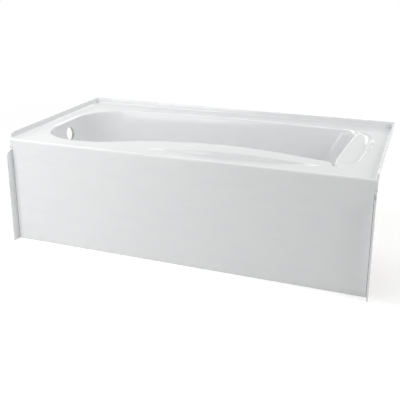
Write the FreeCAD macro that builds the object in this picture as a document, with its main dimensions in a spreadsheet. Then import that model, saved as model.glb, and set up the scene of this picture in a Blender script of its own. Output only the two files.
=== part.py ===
import FreeCAD, Part
import math
import os

import Sketcher

# Alcove bathtub with an integral apron, left-hand drain, in millimetres.
# X runs along the bath from the drain end to the head end, Y from the apron to the back wall, Z up.
# The origin is on the floor under the middle of the bath's bounding box.

V = FreeCAD.Vector
doc = FreeCAD.newDocument("AlcoveBathtub")

# ---------------------------------------------------------------- driving dimensions

SIZES = [
    # overall
    ("overall_length", 1524, "wall to wall, a 60 inch alcove"),
    ("apron_to_wall", 762, "front of the apron to the back wall, 30 inches"),
    ("deck_height", 457, "floor to deck, 18 inches"),
    ("skin", 4.5, "thickness of the acrylic skin"),
    ("glass", 3, "thickness of the glass fibre behind the skin"),
    ("glass_trim", 10, "glass fibre stops this far inside the skin's edges"),
    # edges that tie the bath to the alcove
    ("tile_flange_height", 25, "upstand above the deck on three sides"),
    ("tile_flange_thickness", 5, ""),
    ("tile_flange_setback", 10, "front end of the side flanges behind the apron face"),
    ("tile_flange_corner", 10, "radius of their top front corner"),
    ("cove_radius", 9, "deck into tile flange"),
    ("front_edge_radius", 9, "deck into apron"),
    ("nailing_flange_reach", 32, "how far the end flanges stand in front of the apron"),
    ("nailing_flange_thickness", 5, ""),
    ("nailing_flange_drop", 42, "deck down to the top of the end flanges"),
    ("nailing_flange_slant", 16, "fall of their top edge"),
    ("nailing_flange_corner", 8, "radius of their top front corner"),
    # the basin's mouth, measured in from the edges of the deck
    ("drain_deck", 64, "deck width at the drain end"),
    ("head_deck", 59, "deck width at the head end, past the scoop"),
    ("front_deck", 85, "deck width in front of the basin at its drain end"),
    ("back_deck", 90, "deck width behind the basin at its widest, tile flange included"),
    ("widest_place", 30, "middle of the bath to the basin's widest place"),
    ("back_angle_drain", 4.3, "degrees, back wall from the widest place to the drain end"),
    ("back_angle_head", 3.4, "degrees, back wall from the widest place to the head end"),
    ("back_bow", 4500, "radius between the two"),
    ("front_angle", 0.8, "degrees, front wall at the drain end"),
    ("turn_place", 295, "drain end of the mouth to where the front wall turns in"),
    ("turn_angle", 26.3, "degrees of that turn"),
    ("turn_radius", 260, "both bends of the turn"),
    ("drain_back_corner", 200, ""),
    ("drain_front_corner", 190, ""),
    ("ridge_to_head_end", 106, "backrest's top edge to the end of the head scoop"),
    ("ridge_skew", 3.1, "degrees, the ridge leans along X"),
    ("ridge_corner", 68, "radius where the side walls meet the backrest"),
    ("rim_radius", 11, "deck into basin wall"),
    # the basin below its mouth
    ("wall_fall", 60, "walls lean in by this much, deck to floor"),
    ("backrest_fall", 193, "backrest leans in by this much, deck to floor"),
    ("shoulder_drop", 27, "height of the rounded top of the backrest"),
    ("shoulder_fall", 20, "how far it leans in over that height"),
    ("shoulder_radius", 70, "shoulder into backrest"),
    ("floor_radius", 60, "walls into floor"),
    # armrest
    ("armrest_length", 700, "chord of the raised arc"),
    ("armrest_rise", 18, "height of the arc above the deck"),
    ("armrest_width", 79, "basin front edge to armrest inner edge, at the ridge"),
    ("armrest_angle", 1.5, "degrees, inner edge to the length of the bath"),
    ("armrest_setback", 59, "apron face to the foot of the armrest's front step"),
    ("armrest_bow", 5140, "radius of that step in plan"),
    ("armrest_draft", 10, "how far the step leans back over the rise"),
    ("armrest_head_gap", 73, "end of the arc to the ridge"),
    ("armrest_blend", 600, "radius that eases each end of the arc into the deck"),
    # head scoop
    ("scoop_half_width", 262, "half its length across the bath"),
    ("scoop_slope", 0.5, "fall of its floor from the ridge and of its end wall"),
    ("scoop_crest", 3, "backrest's top edge to the scoop's start"),
    ("scoop_valley_radius", 40, "floor into end wall"),
    # holes
    ("overflow_hole", 64, "diameter"),
    ("overflow_depth", 64, "deck down to the centre of the overflow hole"),
    ("drain_hole", 50, "diameter"),
    ("drain_from_end_wall", 95, "foot of the drain end wall to the drain's centre"),
    ("drain_recess", 92, "diameter of the dished seat round the drain"),
    ("drain_recess_depth", 3, ""),
    ("ring_width", 19, "wall of the rings behind the two holes"),
    ("ring_thickness", 8, ""),
    # timber
    ("batten_thickness", 18, ""),
    ("front_batten_width", 36, ""),
    ("back_batten_width", 60, ""),
    ("end_batten_width", 36, ""),
    ("batten_end_gap", 12, "battens stop this far inside the ends of the bath"),
    ("rail_height", 45, "wood rail along the foot of the apron"),
    ("rail_lift", 12, "rail above the floor"),
    ("brace_width", 60, ""),
    ("brace_inset", 170, "end of the bath to the middle of the outer braces"),
    ("board_thickness", 15, "base board under the floor"),
    ("board_corner", 60, ""),
    ("board_edge", 8, "board stops this far inside the flat of the floor"),
    ("board_drain_gap", 12, "clearance round the drain ring"),
    # steel and feet
    ("bearer_width", 44, ""),
    ("bearer_height", 28, ""),
    ("bearer_sheet", 2.5, "thickness of the pressed steel"),
    ("bearer_overhang", 250, "bearer runs on past the board, front and back"),
    ("bearer_inset_drain", 190, "end of the board to the middle of the drain bearer"),
    ("bearer_inset_head", 120, "end of the board to the middle of the head bearer"),
    ("foot_inset", 32, "end of the bearer to the middle of the foot"),
    ("foot_clearance", 60, "floor to the underside of the base board"),
    ("stud_diameter", 12, ""),
    ("stud_length", 88, ""),
    ("stud_hole_gap", 0.5, "radial clearance of the stud in the bearer"),
    ("thread_gap", 0.3, "radial clearance of the plain stud in the nuts and in its socket"),
    ("pad_diameter", 50, "across its flats"),
    ("pad_height", 10, ""),
    ("pad_hub_diameter", 24, ""),
    ("pad_hub_height", 18, ""),
    ("pad_floor", 6, "thickness under the stud"),
    ("collar_flats", 17, "spanner hexagon on the stud"),
    ("collar_height", 6, ""),
    ("collar_gap", 1, "hexagon above the pad's hub"),
    ("nut_flats", 19, ""),
    ("nut_height", 10, ""),
    ("screw_diameter", 5, ""),
    ("screw_length", 15, "under the head"),
    ("screw_flats", 8, "hexagon head"),
    ("screw_head_height", 3.5, ""),
    ("screw_spacing", 110, "along each bearer"),
]

sheet = doc.addObject("Spreadsheet::Sheet", "Sizes")
for row, (alias, value, note) in enumerate(SIZES, start=1):
    sheet.set(f"A{row}", alias)
    sheet.set(f"B{row}", str(value))
    sheet.set(f"C{row}", note)
    sheet.setAlias(f"B{row}", alias)
doc.recompute()


def size(alias):
    return float(sheet.get(alias))


# ---------------------------------------------------------------- places worked out from them

HALF_LENGTH = size("overall_length") / 2
BACK_Y = (size("apron_to_wall") + size("nailing_flange_reach")) / 2
APRON_Y = BACK_Y - size("apron_to_wall")
TRIM = size("glass_trim")
DECK_Z = size("deck_height")
LAMINATE = size("skin") + size("glass")
BOARD_TOP = size("foot_clearance") + size("board_thickness")
FLOOR_Z = BOARD_TOP + LAMINATE

MOUTH_DRAIN_X = -HALF_LENGTH + size("drain_deck")
SCOOP_END_X = HALF_LENGTH - size("head_deck")
RIDGE_X = SCOOP_END_X - size("ridge_to_head_end")
MOUTH_BACK_Y = BACK_Y - size("back_deck")
MOUTH_FRONT_Y = APRON_Y + size("front_deck")
ARMREST_INNER_Y = MOUTH_FRONT_Y + size("armrest_width")
FLOOR_DRAIN_X = MOUTH_DRAIN_X + size("wall_fall")

ARMREST_END_X = RIDGE_X - size("armrest_head_gap")
ARMREST_START_X = ARMREST_END_X - size("armrest_length")
ARMREST_FRONT_Y = APRON_Y + size("armrest_setback")

DRAIN_X = FLOOR_DRAIN_X + size("drain_from_end_wall")
OVERFLOW_Z = DECK_Z - size("overflow_depth")

REACH = 60.0  # how far cutting solids run past what they cut
NEAR = 0.01  # how close two faces lie when they count as one
SUNK = 2.0  # how far raised parts reach down into what they stand on
DRAIN_DISH_RUN = 3.0  # slope of the drain seat's edge, run over fall
CUT_OF_ARC = 2 - math.sqrt(2)  # side of the chamfer that touches a square edge's arc, over its radius


# ---------------------------------------------------------------- the moulded form


def flat_edges(solid, level):
    """Edges that lie level at one height."""
    return [
        edge
        for edge in solid.Edges
        if abs(edge.BoundBox.ZMax - level) < NEAR and abs(edge.BoundBox.ZMin - level) < NEAR
    ]


def lies_on(edge, solid):
    """True where the middle of an edge is on the solid's boundary."""
    middle = edge.valueAt((edge.FirstParameter + edge.LastParameter) / 2)
    return solid.Shells[0].distToShape(Part.Vertex(middle))[0] < NEAR


def heading(degrees):
    """Unit direction in plan."""
    return V(math.cos(math.radians(degrees)), math.sin(math.radians(degrees)), 0)


# The basin's sides at the deck, clockwise from above: a point that each passes through, its heading
# and the radius of the corner at its end. The fourth only closes the outline beyond the ridge: the
# backrest is cut separately.
TURN = V(MOUTH_DRAIN_X + size("turn_place"), MOUTH_FRONT_Y, 0)
WIDEST = V(size("widest_place"), MOUTH_BACK_Y, 0)
SIDES = [
    (V(MOUTH_DRAIN_X, 0, 0), 90, size("drain_back_corner")),
    (WIDEST, size("back_angle_drain"), size("back_bow")),
    (WIDEST, -size("back_angle_head"), 0),
    (V(HALF_LENGTH + REACH, 0, 0), -90, 0),
    (V(RIDGE_X, ARMREST_INNER_Y, 0), 180 - size("armrest_angle"), size("turn_radius")),
    (TURN, 180 + size("turn_angle"), size("turn_radius")),
    (TURN, 180 + size("front_angle"), size("drain_front_corner")),
]


def basin_corners(level, grow):
    """Each corner at one level, grown outwards: its start, end, centre, degrees, side and radius."""
    inset = size("wall_fall") * (DECK_Z - level) / (DECK_Z - FLOOR_Z) - grow
    corners = []
    for (here, angle, radius), (there, next_angle, _) in zip(SIDES, SIDES[1:] + SIDES[:1]):
        along, onward = heading(angle), heading(next_angle)
        start = here + heading(angle - 90) * inset
        gap = there + heading(next_angle - 90) * inset - start
        cross = along.x * onward.y - along.y * onward.x
        point = start + along * ((gap.x * onward.y - gap.y * onward.x) / cross) + V(0, 0, level)
        turn = along.getAngle(onward)
        side = -1 if cross > 0 else 1
        bend = radius - side * inset if radius else 0.0
        tangent = bend * math.tan(turn / 2)
        centre = point + (onward - along).normalize() * (bend / math.cos(turn / 2))
        first, last = point - along * tangent, point + onward * tangent
        corners.append((first, last, centre, math.degrees(turn), side, bend))
    return corners


def tapered_well(grow, top, bottom):
    """Leaning flat walls with cone corners, the same draft all round."""
    upper, lower = basin_corners(top, grow), basin_corners(bottom, grow)
    faces, top_ring, bottom_ring = [], [], []
    for number, (high, low) in enumerate(zip(upper, lower)):
        high_start, high_end, centre, turn, side, bend = high
        low_start, low_end = low[:2]
        if bend:
            axis = V(0, 0, -side)
            faces.append(Part.makeLine(high_start, low_start).revolve(centre, axis, turn))
            top_ring.append(Part.Vertex(high_start).revolve(centre, axis, turn))
            bottom_ring.append(Part.Vertex(low_start).revolve(centre, axis, turn))
        high_next = upper[(number + 1) % len(upper)][0]
        low_next = lower[(number + 1) % len(lower)][0]
        faces.append(Part.Face(Part.makePolygon([high_end, high_next, low_next, low_end, high_end])))
        top_ring.append(Part.makeLine(high_end, high_next))
        bottom_ring.append(Part.makeLine(low_end, low_next))
    for ring in (top_ring, bottom_ring):
        faces.append(Part.Face(Part.Wire(Part.__sortEdges__(ring))))
    shell = Part.makeShell(faces)
    shell.sewShape()
    solid = Part.makeSolid(shell)
    if solid.Volume < 0:
        solid.reverse()
    return solid


def skewed_block(profile):
    """An XZ profile run right across the bath, square to the ridge."""
    face = Part.Face(Part.makePolygon(profile + profile[:1]))
    solid = face.extrude(V(0, 2 * HALF_LENGTH, 0))
    solid.translate(V(0, -HALF_LENGTH, 0))
    solid.rotate(V(RIDGE_X, 0, 0), V(0, 0, 1), -size("ridge_skew"))
    return solid


def backrest_block(grow):
    """The space in front of the backrest: a steep shoulder over a long slope."""
    shoulder_z = DECK_Z - size("shoulder_drop")
    shoulder_x = RIDGE_X - size("shoulder_fall") + grow
    floor_x = RIDGE_X - size("backrest_fall") + grow
    steep = size("shoulder_fall") / size("shoulder_drop")
    slope = (shoulder_x - floor_x) / (shoulder_z - FLOOR_Z)
    profile = [
        V(-HALF_LENGTH - REACH, 0, FLOOR_Z - REACH),
        V(floor_x - slope * REACH, 0, FLOOR_Z - REACH),
        V(shoulder_x, 0, shoulder_z),
        V(shoulder_x + steep * (size("shoulder_drop") + 2 * REACH), 0, DECK_Z + 2 * REACH),
        V(-HALF_LENGTH - REACH, 0, DECK_Z + 2 * REACH),
    ]
    block = skewed_block(profile)
    crease = [
        edge
        for edge in block.Edges
        if abs(edge.BoundBox.ZMin - shoulder_z) < NEAR and edge.BoundBox.YLength > HALF_LENGTH
    ]
    return block.makeFillet(size("shoulder_radius") - grow, crease)


def basin_solid(grow):
    """The space inside the basin, run on above the deck so that it cuts a clean mouth."""
    bottom = FLOOR_Z - grow
    backrest = backrest_block(grow)
    well = tapered_well(grow, DECK_Z + REACH, bottom)
    solid = well.common(backrest).removeSplitter()
    upright = [
        edge
        for edge in solid.Edges
        if edge.BoundBox.ZLength > 1 and lies_on(edge, backrest) and lies_on(edge, well)
    ]
    solid = solid.makeFillet(size("ridge_corner") + grow, upright)
    solid = solid.makeFillet(size("floor_radius") + grow, flat_edges(solid, bottom))
    recess_radius = size("drain_recess") / 2 + grow
    recess = Part.makeCone(
        recess_radius - size("drain_recess_depth") * DRAIN_DISH_RUN,
        recess_radius,
        size("drain_recess_depth"),
        V(DRAIN_X, 0, bottom - size("drain_recess_depth")),
    )
    return solid.fuse(recess)


def scoop_solid(grow):
    """The hollow behind the ridge: its floor falls away from it, its end wall has a half-oval rim."""
    top = DECK_Z - grow
    slope = size("scoop_slope")
    crest_x = RIDGE_X + size("scoop_crest")
    across = size("scoop_half_width")
    along = SCOOP_END_X - crest_x
    depth = along * slope / 2

    def oval(lift):
        rim = Part.Ellipse(
            V(crest_x, across + lift / slope, top + lift),
            V(crest_x + along + lift / slope, 0, top + lift),
            V(crest_x, 0, top + lift),
        )
        return Part.Wire([rim.toShape()])

    funnel = Part.makeLoft([oval(2 * depth), oval(-1.5 * depth)], True, True)
    floor = [
        V(crest_x - depth, 0, top + slope * depth),
        V(crest_x + 2 * along, 0, top - 2 * slope * along),
        V(crest_x + 2 * along, 0, top + REACH),
        V(crest_x - depth, 0, top + REACH),
    ]
    solid = funnel.common(skewed_block(floor)).removeSplitter()
    valley = [
        edge
        for edge in solid.Edges
        if edge.BoundBox.ZMin < top - depth / 2 and edge.BoundBox.YLength > across
    ]
    radius = size("scoop_valley_radius")
    if grow:
        cut = (radius + grow) * (math.hypot(1, slope) - 1) / slope
        return solid.makeChamfer(cut, valley)
    return solid.makeFillet(radius, valley)


def armrest_block(grow):
    """The raised arc on the front deck, eased into it at both ends, its front bowed and drafted."""
    top = DECK_Z - grow
    half = size("armrest_length") / 2
    rise = size("armrest_rise")
    ease = size("armrest_blend")
    radius = (half * half + rise * rise) / (2 * rise)
    middle_x = (ARMREST_START_X + ARMREST_END_X) / 2
    ease_run = math.sqrt((radius + ease) ** 2 - (radius + ease - rise) ** 2)
    share = radius / (radius + ease)
    meet_run = ease_run * share
    meet_z = top + rise - radius + (ease + radius - rise) * share

    def point(x, z):
        return V(x, APRON_Y, z)

    def eased(sign):
        centre = point(middle_x + sign * ease_run, top + ease)
        towards = point(middle_x + sign * (ease_run + meet_run) / 2, (top + meet_z) / 2) - centre
        towards.normalize()
        return centre + towards * ease

    foot_left, foot_right = point(middle_x - ease_run, top), point(middle_x + ease_run, top)
    meet_left, meet_right = point(middle_x - meet_run, meet_z), point(middle_x + meet_run, meet_z)
    outline = [
        Part.Arc(foot_left, eased(-1), meet_left).toShape(),
        Part.Arc(meet_left, point(middle_x, top + rise), meet_right).toShape(),
        Part.Arc(meet_right, eased(1), foot_right).toShape(),
        Part.makeLine(foot_right, foot_right - V(0, 0, SUNK)),
        Part.makeLine(foot_right - V(0, 0, SUNK), foot_left - V(0, 0, SUNK)),
        Part.makeLine(foot_left - V(0, 0, SUNK), foot_left),
    ]
    raised = Part.Face(Part.Wire(outline)).extrude(V(0, -APRON_Y, 0))
    bow = size("armrest_bow") - grow
    draft = size("armrest_draft") / rise
    reach = rise + REACH
    front = Part.makeCone(
        bow + draft * SUNK,
        bow - draft * reach,
        reach + SUNK,
        V(0, ARMREST_FRONT_Y + size("armrest_bow"), top - SUNK),
    )
    return raised.common(front)


def tile_flange_block():
    """The upstand on three sides with its cove, on a slab that lies within the deck."""
    height = size("tile_flange_height")
    wall = size("tile_flange_thickness")
    front_y = APRON_Y + size("tile_flange_setback")
    depth = BACK_Y - front_y
    slab = Part.makeBox(2 * HALF_LENGTH, depth, 2 * height, V(-HALF_LENGTH, front_y, DECK_Z - height))
    front_corners = [
        edge
        for edge in flat_edges(slab, DECK_Z + height)
        if edge.BoundBox.YMax < front_y + NEAR
    ]
    slab = slab.makeFillet(size("tile_flange_corner"), front_corners)
    inside = V(-HALF_LENGTH + wall, front_y - REACH, DECK_Z)
    pocket = Part.makeBox(2 * (HALF_LENGTH - wall), depth - wall + REACH, REACH, inside)
    coved = [
        edge
        for edge in pocket.Edges
        if edge.BoundBox.YMax > front_y
        and edge.BoundBox.ZMin < DECK_Z + NEAR
    ]
    pocket = pocket.makeFillet(size("cove_radius"), coved)
    return slab.cut(pocket)


def moulded_form(grow):
    """Everything under the visible face, or under the back of a layer of the given thickness."""
    top = DECK_Z - grow
    front_y = APRON_Y + grow
    past = REACH if grow else 0.0
    ends = HALF_LENGTH + past
    slab = Part.makeBox(2 * ends, BACK_Y + past - front_y, top + past, V(-ends, front_y, -past))
    front_edge = [edge for edge in flat_edges(slab, top) if edge.BoundBox.YMax < front_y + NEAR]
    slab = slab.makeFillet(size("front_edge_radius") - grow, front_edge)
    pieces = [armrest_block(grow)]
    if not grow:
        pieces.append(tile_flange_block())
    basin = basin_solid(grow)
    form = slab.fuse(pieces).cut(basin).removeSplitter()
    rim = [
        edge for edge in form.Edges if edge.BoundBox.ZMin > top - NEAR and lies_on(edge, basin)
    ]
    if grow:
        form = form.makeChamfer((size("rim_radius") - grow) * CUT_OF_ARC, rim)
    else:
        form = form.makeFillet(size("rim_radius"), rim)
    return form.cut(scoop_solid(grow))


def nailing_flange(inner_x, sign):
    """Upright plate at one end of the apron, standing forward of it."""
    top = DECK_Z - size("nailing_flange_drop")
    tip_y = APRON_Y - size("nailing_flange_reach")
    root_y = APRON_Y + size("skin") / 2
    fall = size("nailing_flange_slant")
    corners = [
        V(inner_x, root_y, 0),
        V(inner_x, tip_y, 0),
        V(inner_x, tip_y, top - fall),
        V(inner_x, APRON_Y, top),
        V(inner_x, root_y, top),
    ]
    plate = Part.Face(Part.makePolygon(corners + corners[:1])).extrude(
        V(sign * size("nailing_flange_thickness"), 0, 0)
    )
    front_corner = [
        edge
        for edge in plate.Edges
        if edge.BoundBox.YMax < tip_y + NEAR and edge.BoundBox.ZMin > top - fall - NEAR
    ]
    return plate.makeFillet(size("nailing_flange_corner"), front_corner)


def overflow_drill(radius, inside, outside):
    """A cylinder square to the drain end wall, through the overflow's centre."""
    draft = size("wall_fall") / (DECK_Z - FLOOR_Z)
    lean = math.atan(draft)
    outwards = V(-math.cos(lean), 0, -math.sin(lean))
    centre = V(MOUTH_DRAIN_X + draft * size("overflow_depth"), 0, OVERFLOW_Z)
    return Part.makeCylinder(radius, inside + outside, centre - outwards * inside, outwards)


def add_shape(name, shape):
    part = doc.addObject("Part::Feature", name)
    part.Label = name
    part.Shape = shape
    part.Placement = FreeCAD.Placement()
    return part


face_form = moulded_form(0)
skin_back_form = moulded_form(size("skin"))
glass_back_form = moulded_form(LAMINATE)
glass_back_basin = basin_solid(LAMINATE)
drain_drill = Part.makeCylinder(size("drain_hole") / 2, FLOOR_Z + REACH, V(DRAIN_X, 0, -REACH / 2))
hole_drill = overflow_drill(size("overflow_hole") / 2, REACH, REACH)

# tub_shell: one moulding, with the end flanges of the apron moulded on
flange_inner_x = HALF_LENGTH - size("nailing_flange_thickness")
shell = face_form.cut(skin_back_form)
shell = shell.fuse([nailing_flange(flange_inner_x, 1), nailing_flange(-flange_inner_x, -1)])
shell = shell.cut(drain_drill).cut(hole_drill)
tub_shell = add_shape("tub_shell", shell)

# glass_fibre_backing: laid on the back of the skin, trimmed short of its edges
trim_corner = V(-HALF_LENGTH + TRIM, APRON_Y, TRIM)
trim_box = Part.makeBox(
    2 * (HALF_LENGTH - TRIM), size("apron_to_wall") - TRIM, DECK_Z + REACH, trim_corner
)
backing = skin_back_form.cut(glass_back_form).common(trim_box).cut(drain_drill).cut(hole_drill)
glass_fibre_backing = add_shape("glass_fibre_backing", backing)

# rings behind the two holes, their faces seated on the back of the glass fibre
ring_reach = LAMINATE + size("ring_thickness")
overflow_outer = overflow_drill(size("overflow_hole") / 2 + size("ring_width"), LAMINATE, ring_reach)
overflow_ring = add_shape("overflow_ring", overflow_outer.cut(glass_back_basin).cut(hole_drill))
drain_ring_height = size("drain_recess_depth") + size("ring_thickness")
drain_outer = Part.makeCylinder(
    size("drain_hole") / 2 + size("ring_width"),
    drain_ring_height,
    V(DRAIN_X, 0, BOARD_TOP - drain_ring_height),
)
drain_ring = add_shape("drain_ring", drain_outer.cut(glass_back_basin).cut(drain_drill))


# ---------------------------------------------------------------- helpers for the bound pieces


def bind(item, **expressions):
    """Ties properties to sheet expressions; a double underscore stands for a dot."""
    for name, expression in expressions.items():
        item.setExpression(name.replace("__", "."), expression)


def place(item, x, y, z):
    bind(item, Placement__Base__x=x, Placement__Base__y=y, Placement__Base__z=z)


def named(name, kind):
    item = doc.addObject(kind, name)
    item.Label = name
    return item


def strip(name, length, width, height, x, y, z):
    """A straight piece of sawn timber, placed by its low corner."""
    item = named(name, "Part::Box")
    bind(item, Length=length, Width=width, Height=height)
    place(item, x, y, z)
    return item


def base_plane(body, role):
    return next(plane for plane in body.Origin.OriginFeatures if plane.Role == role)


def sketch_on_base(body, name, lift="0 mm"):
    sketch = body.newObject("Sketcher::SketchObject", name)
    sketch.AttachmentSupport = [(base_plane(body, "XY_Plane"), "")]
    sketch.MapMode = "FlatFace"
    sketch.setExpression("AttachmentOffset.Base.z", lift)
    return sketch


def hold(sketch, held):
    """Adds constraints of the given kinds, each with its value tied to an expression."""
    for kind, places, expression in held:
        number = sketch.addConstraint(Sketcher.Constraint(kind, *places, 1.0))
        sketch.setExpression(f"Constraints[{number}]", expression)


def draw_rectangle(sketch, x_low, y_low, width, depth):
    """A rectangle held by its low corner and its two sides."""
    corners = [V(1, 1, 0), V(2, 1, 0), V(2, 2, 0), V(1, 2, 0)]
    first = sketch.GeometryCount
    for start, end in zip(corners, corners[1:] + corners[:1]):
        sketch.addGeometry(Part.LineSegment(start, end), False)
    for side in range(4):
        sketch.addConstraint(
            Sketcher.Constraint("Coincident", first + side, 2, first + (side + 1) % 4, 1)
        )
    for side in (0, 2):
        sketch.addConstraint(Sketcher.Constraint("Horizontal", first + side))
        sketch.addConstraint(Sketcher.Constraint("Vertical", first + side + 1))
    held = [
        ("DistanceX", (-1, 1, first, 1), x_low),
        ("DistanceY", (-1, 1, first, 1), y_low),
        ("DistanceX", (first, 1, first, 2), width),
        ("DistanceY", (first + 1, 1, first + 1, 2), depth),
    ]
    hold(sketch, held)


def draw_circle(sketch, radius, x=None, y=None):
    """A circle on the sketch's origin, or at a place of its own."""
    first = sketch.GeometryCount
    sketch.addGeometry(Part.Circle(V(1, 1, 0), V(0, 0, 1), 1.0), False)
    if x is None:
        sketch.addConstraint(Sketcher.Constraint("PointOnObject", first, 3, -2))
    else:
        hold(sketch, [("DistanceX", (-1, 1, first, 3), x)])
    if y is None:
        sketch.addConstraint(Sketcher.Constraint("PointOnObject", first, 3, -1))
    else:
        hold(sketch, [("DistanceY", (-1, 1, first, 3), y)])
    hold(sketch, [("Radius", (first,), radius)])


def pad(body, name, sketch, length):
    feature = body.newObject("PartDesign::Pad", name)
    feature.Profile = sketch
    feature.setExpression("Length", length)
    return feature


def pocket_up(body, name, sketch, length):
    """A pocket that cuts upwards from its sketch."""
    doc.recompute()
    before = body.Tip.Shape.Volume
    feature = body.newObject("PartDesign::Pocket", name)
    feature.Profile = sketch
    feature.Reversed = True
    feature.setExpression("Length", length)
    doc.recompute()
    if feature.Shape.Volume >= before:
        raise ValueError(f"{body.Label}: {name} cuts nothing")
    return feature


def round_upright_edges(body, name, base, radius):
    """Rounds every upright edge of a feature."""
    doc.recompute()
    upright = [
        f"Edge{number}"
        for number, edge in enumerate(base.Shape.Edges, start=1)
        if edge.BoundBox.XLength < NEAR and edge.BoundBox.YLength < NEAR
    ]
    feature = body.newObject("PartDesign::Fillet", name)
    feature.Base = (base, upright)
    feature.setExpression("Radius", radius)
    return feature


# Expressions for the same places as above, so that the bound pieces follow the sheet.
HALF_LENGTH_X = "Sizes.overall_length / 2"
BACK = "(Sizes.apron_to_wall + Sizes.nailing_flange_reach) / 2"
APRON = f"({BACK} - Sizes.apron_to_wall)"
LAYERS = "(Sizes.skin + Sizes.glass)"
UNDER_DECK = f"(Sizes.deck_height - {LAYERS})"
MOUTH_DRAIN = f"(-{HALF_LENGTH_X} + Sizes.drain_deck)"
RIDGE = f"({HALF_LENGTH_X} - Sizes.head_deck - Sizes.ridge_to_head_end)"
FLOOR_DRAIN = f"({MOUTH_DRAIN} + Sizes.wall_fall)"
FLOOR_HEAD = f"({RIDGE} - Sizes.backrest_fall)"
FLAT_INSET = "(Sizes.floor_radius + Sizes.board_edge)"
BOARD_X = f"({FLOOR_DRAIN} + {FLAT_INSET})"
BACK_LEAN = f"(Sizes.widest_place - {BOARD_X}) * tan(Sizes.back_angle_drain)"
FRONT_LEAN = f"({RIDGE} - {BOARD_X}) * tan(Sizes.armrest_angle)"
FLOOR_BACK = f"({BACK} - Sizes.back_deck - {BACK_LEAN} - Sizes.wall_fall)"
ARMREST_INNER = f"({APRON} + Sizes.front_deck + Sizes.armrest_width)"
FLOOR_FRONT = f"({ARMREST_INNER} + {FRONT_LEAN} + Sizes.wall_fall)"
BOARD_LENGTH = f"({FLOOR_HEAD} - {FLAT_INSET} - {BOARD_X})"
BOARD_Y = f"({FLOOR_FRONT} + {FLAT_INSET})"
BOARD_WIDTH = f"({FLOOR_BACK} - {FLAT_INSET} - {BOARD_Y})"
BOARD_MIDDLE_X = f"({BOARD_X} + {BOARD_LENGTH} / 2)"
BOARD_MIDDLE_Y = f"({BOARD_Y} + {BOARD_WIDTH} / 2)"
BEARER_LENGTH = f"({BOARD_WIDTH} + 2 * Sizes.bearer_overhang)"
FOOT_SPREAD = f"({BEARER_LENGTH} / 2 - Sizes.foot_inset)"
BEARER_X = {
    "drain": f"({BOARD_X} + Sizes.bearer_inset_drain)",
    "head": f"({BOARD_X} + {BOARD_LENGTH} - Sizes.bearer_inset_head)",
}
FOOT_Y = {
    "front": f"({BOARD_MIDDLE_Y} - {FOOT_SPREAD})",
    "back": f"({BOARD_MIDDLE_Y} + {FOOT_SPREAD})",
}
FEET = [(end, side) for end in BEARER_X for side in FOOT_Y]
PAD_FLATS = 12
WEB_UNDERSIDE = "(Sizes.foot_clearance - Sizes.bearer_sheet)"


# ---------------------------------------------------------------- timber

BATTEN_Z = f"{UNDER_DECK} - Sizes.batten_thickness"
BATTEN_X = f"-{HALF_LENGTH_X} + Sizes.batten_end_gap"
BATTEN_RUN = f"2 * ({HALF_LENGTH_X} - Sizes.batten_end_gap)"
BEHIND_APRON = f"{APRON} + {LAYERS}"
FRONT_BATTEN_Y = f"{APRON} + max({LAYERS}; Sizes.front_edge_radius)"
BACK_BATTEN_Y = f"{BACK} - Sizes.batten_end_gap - Sizes.back_batten_width"
END_BATTEN_Y = f"{FRONT_BATTEN_Y} + Sizes.front_batten_width"
END_BATTEN_RUN = f"{BACK_BATTEN_Y} - ({END_BATTEN_Y})"

timber = [
    strip(
        "front_rim_batten",
        BATTEN_RUN,
        "Sizes.front_batten_width",
        "Sizes.batten_thickness",
        BATTEN_X,
        FRONT_BATTEN_Y,
        BATTEN_Z,
    ),
    strip(
        "back_rim_batten",
        BATTEN_RUN,
        "Sizes.back_batten_width",
        "Sizes.batten_thickness",
        BATTEN_X,
        BACK_BATTEN_Y,
        BATTEN_Z,
    ),
    strip(
        "drain_rim_batten",
        "Sizes.end_batten_width",
        END_BATTEN_RUN,
        "Sizes.batten_thickness",
        BATTEN_X,
        END_BATTEN_Y,
        BATTEN_Z,
    ),
    strip(
        "head_rim_batten",
        "Sizes.end_batten_width",
        END_BATTEN_RUN,
        "Sizes.batten_thickness",
        f"{HALF_LENGTH_X} - Sizes.batten_end_gap - Sizes.end_batten_width",
        END_BATTEN_Y,
        BATTEN_Z,
    ),
    strip(
        "apron_bottom_rail",
        BATTEN_RUN,
        "Sizes.batten_thickness",
        "Sizes.rail_height",
        BATTEN_X,
        BEHIND_APRON,
        "Sizes.rail_lift",
    ),
]
BRACES = 4
for number in range(BRACES):
    share = number / (BRACES - 1)
    timber.append(
        strip(
            f"apron_brace_{number + 1}",
            "Sizes.brace_width",
            "Sizes.batten_thickness",
            f"{BATTEN_Z} - Sizes.rail_lift - Sizes.rail_height",
            f"(2 * {share} - 1) * ({HALF_LENGTH_X} - Sizes.brace_inset) - Sizes.brace_width / 2",
            BEHIND_APRON,
            "Sizes.rail_lift + Sizes.rail_height",
        )
    )


# ---------------------------------------------------------------- base board


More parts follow.
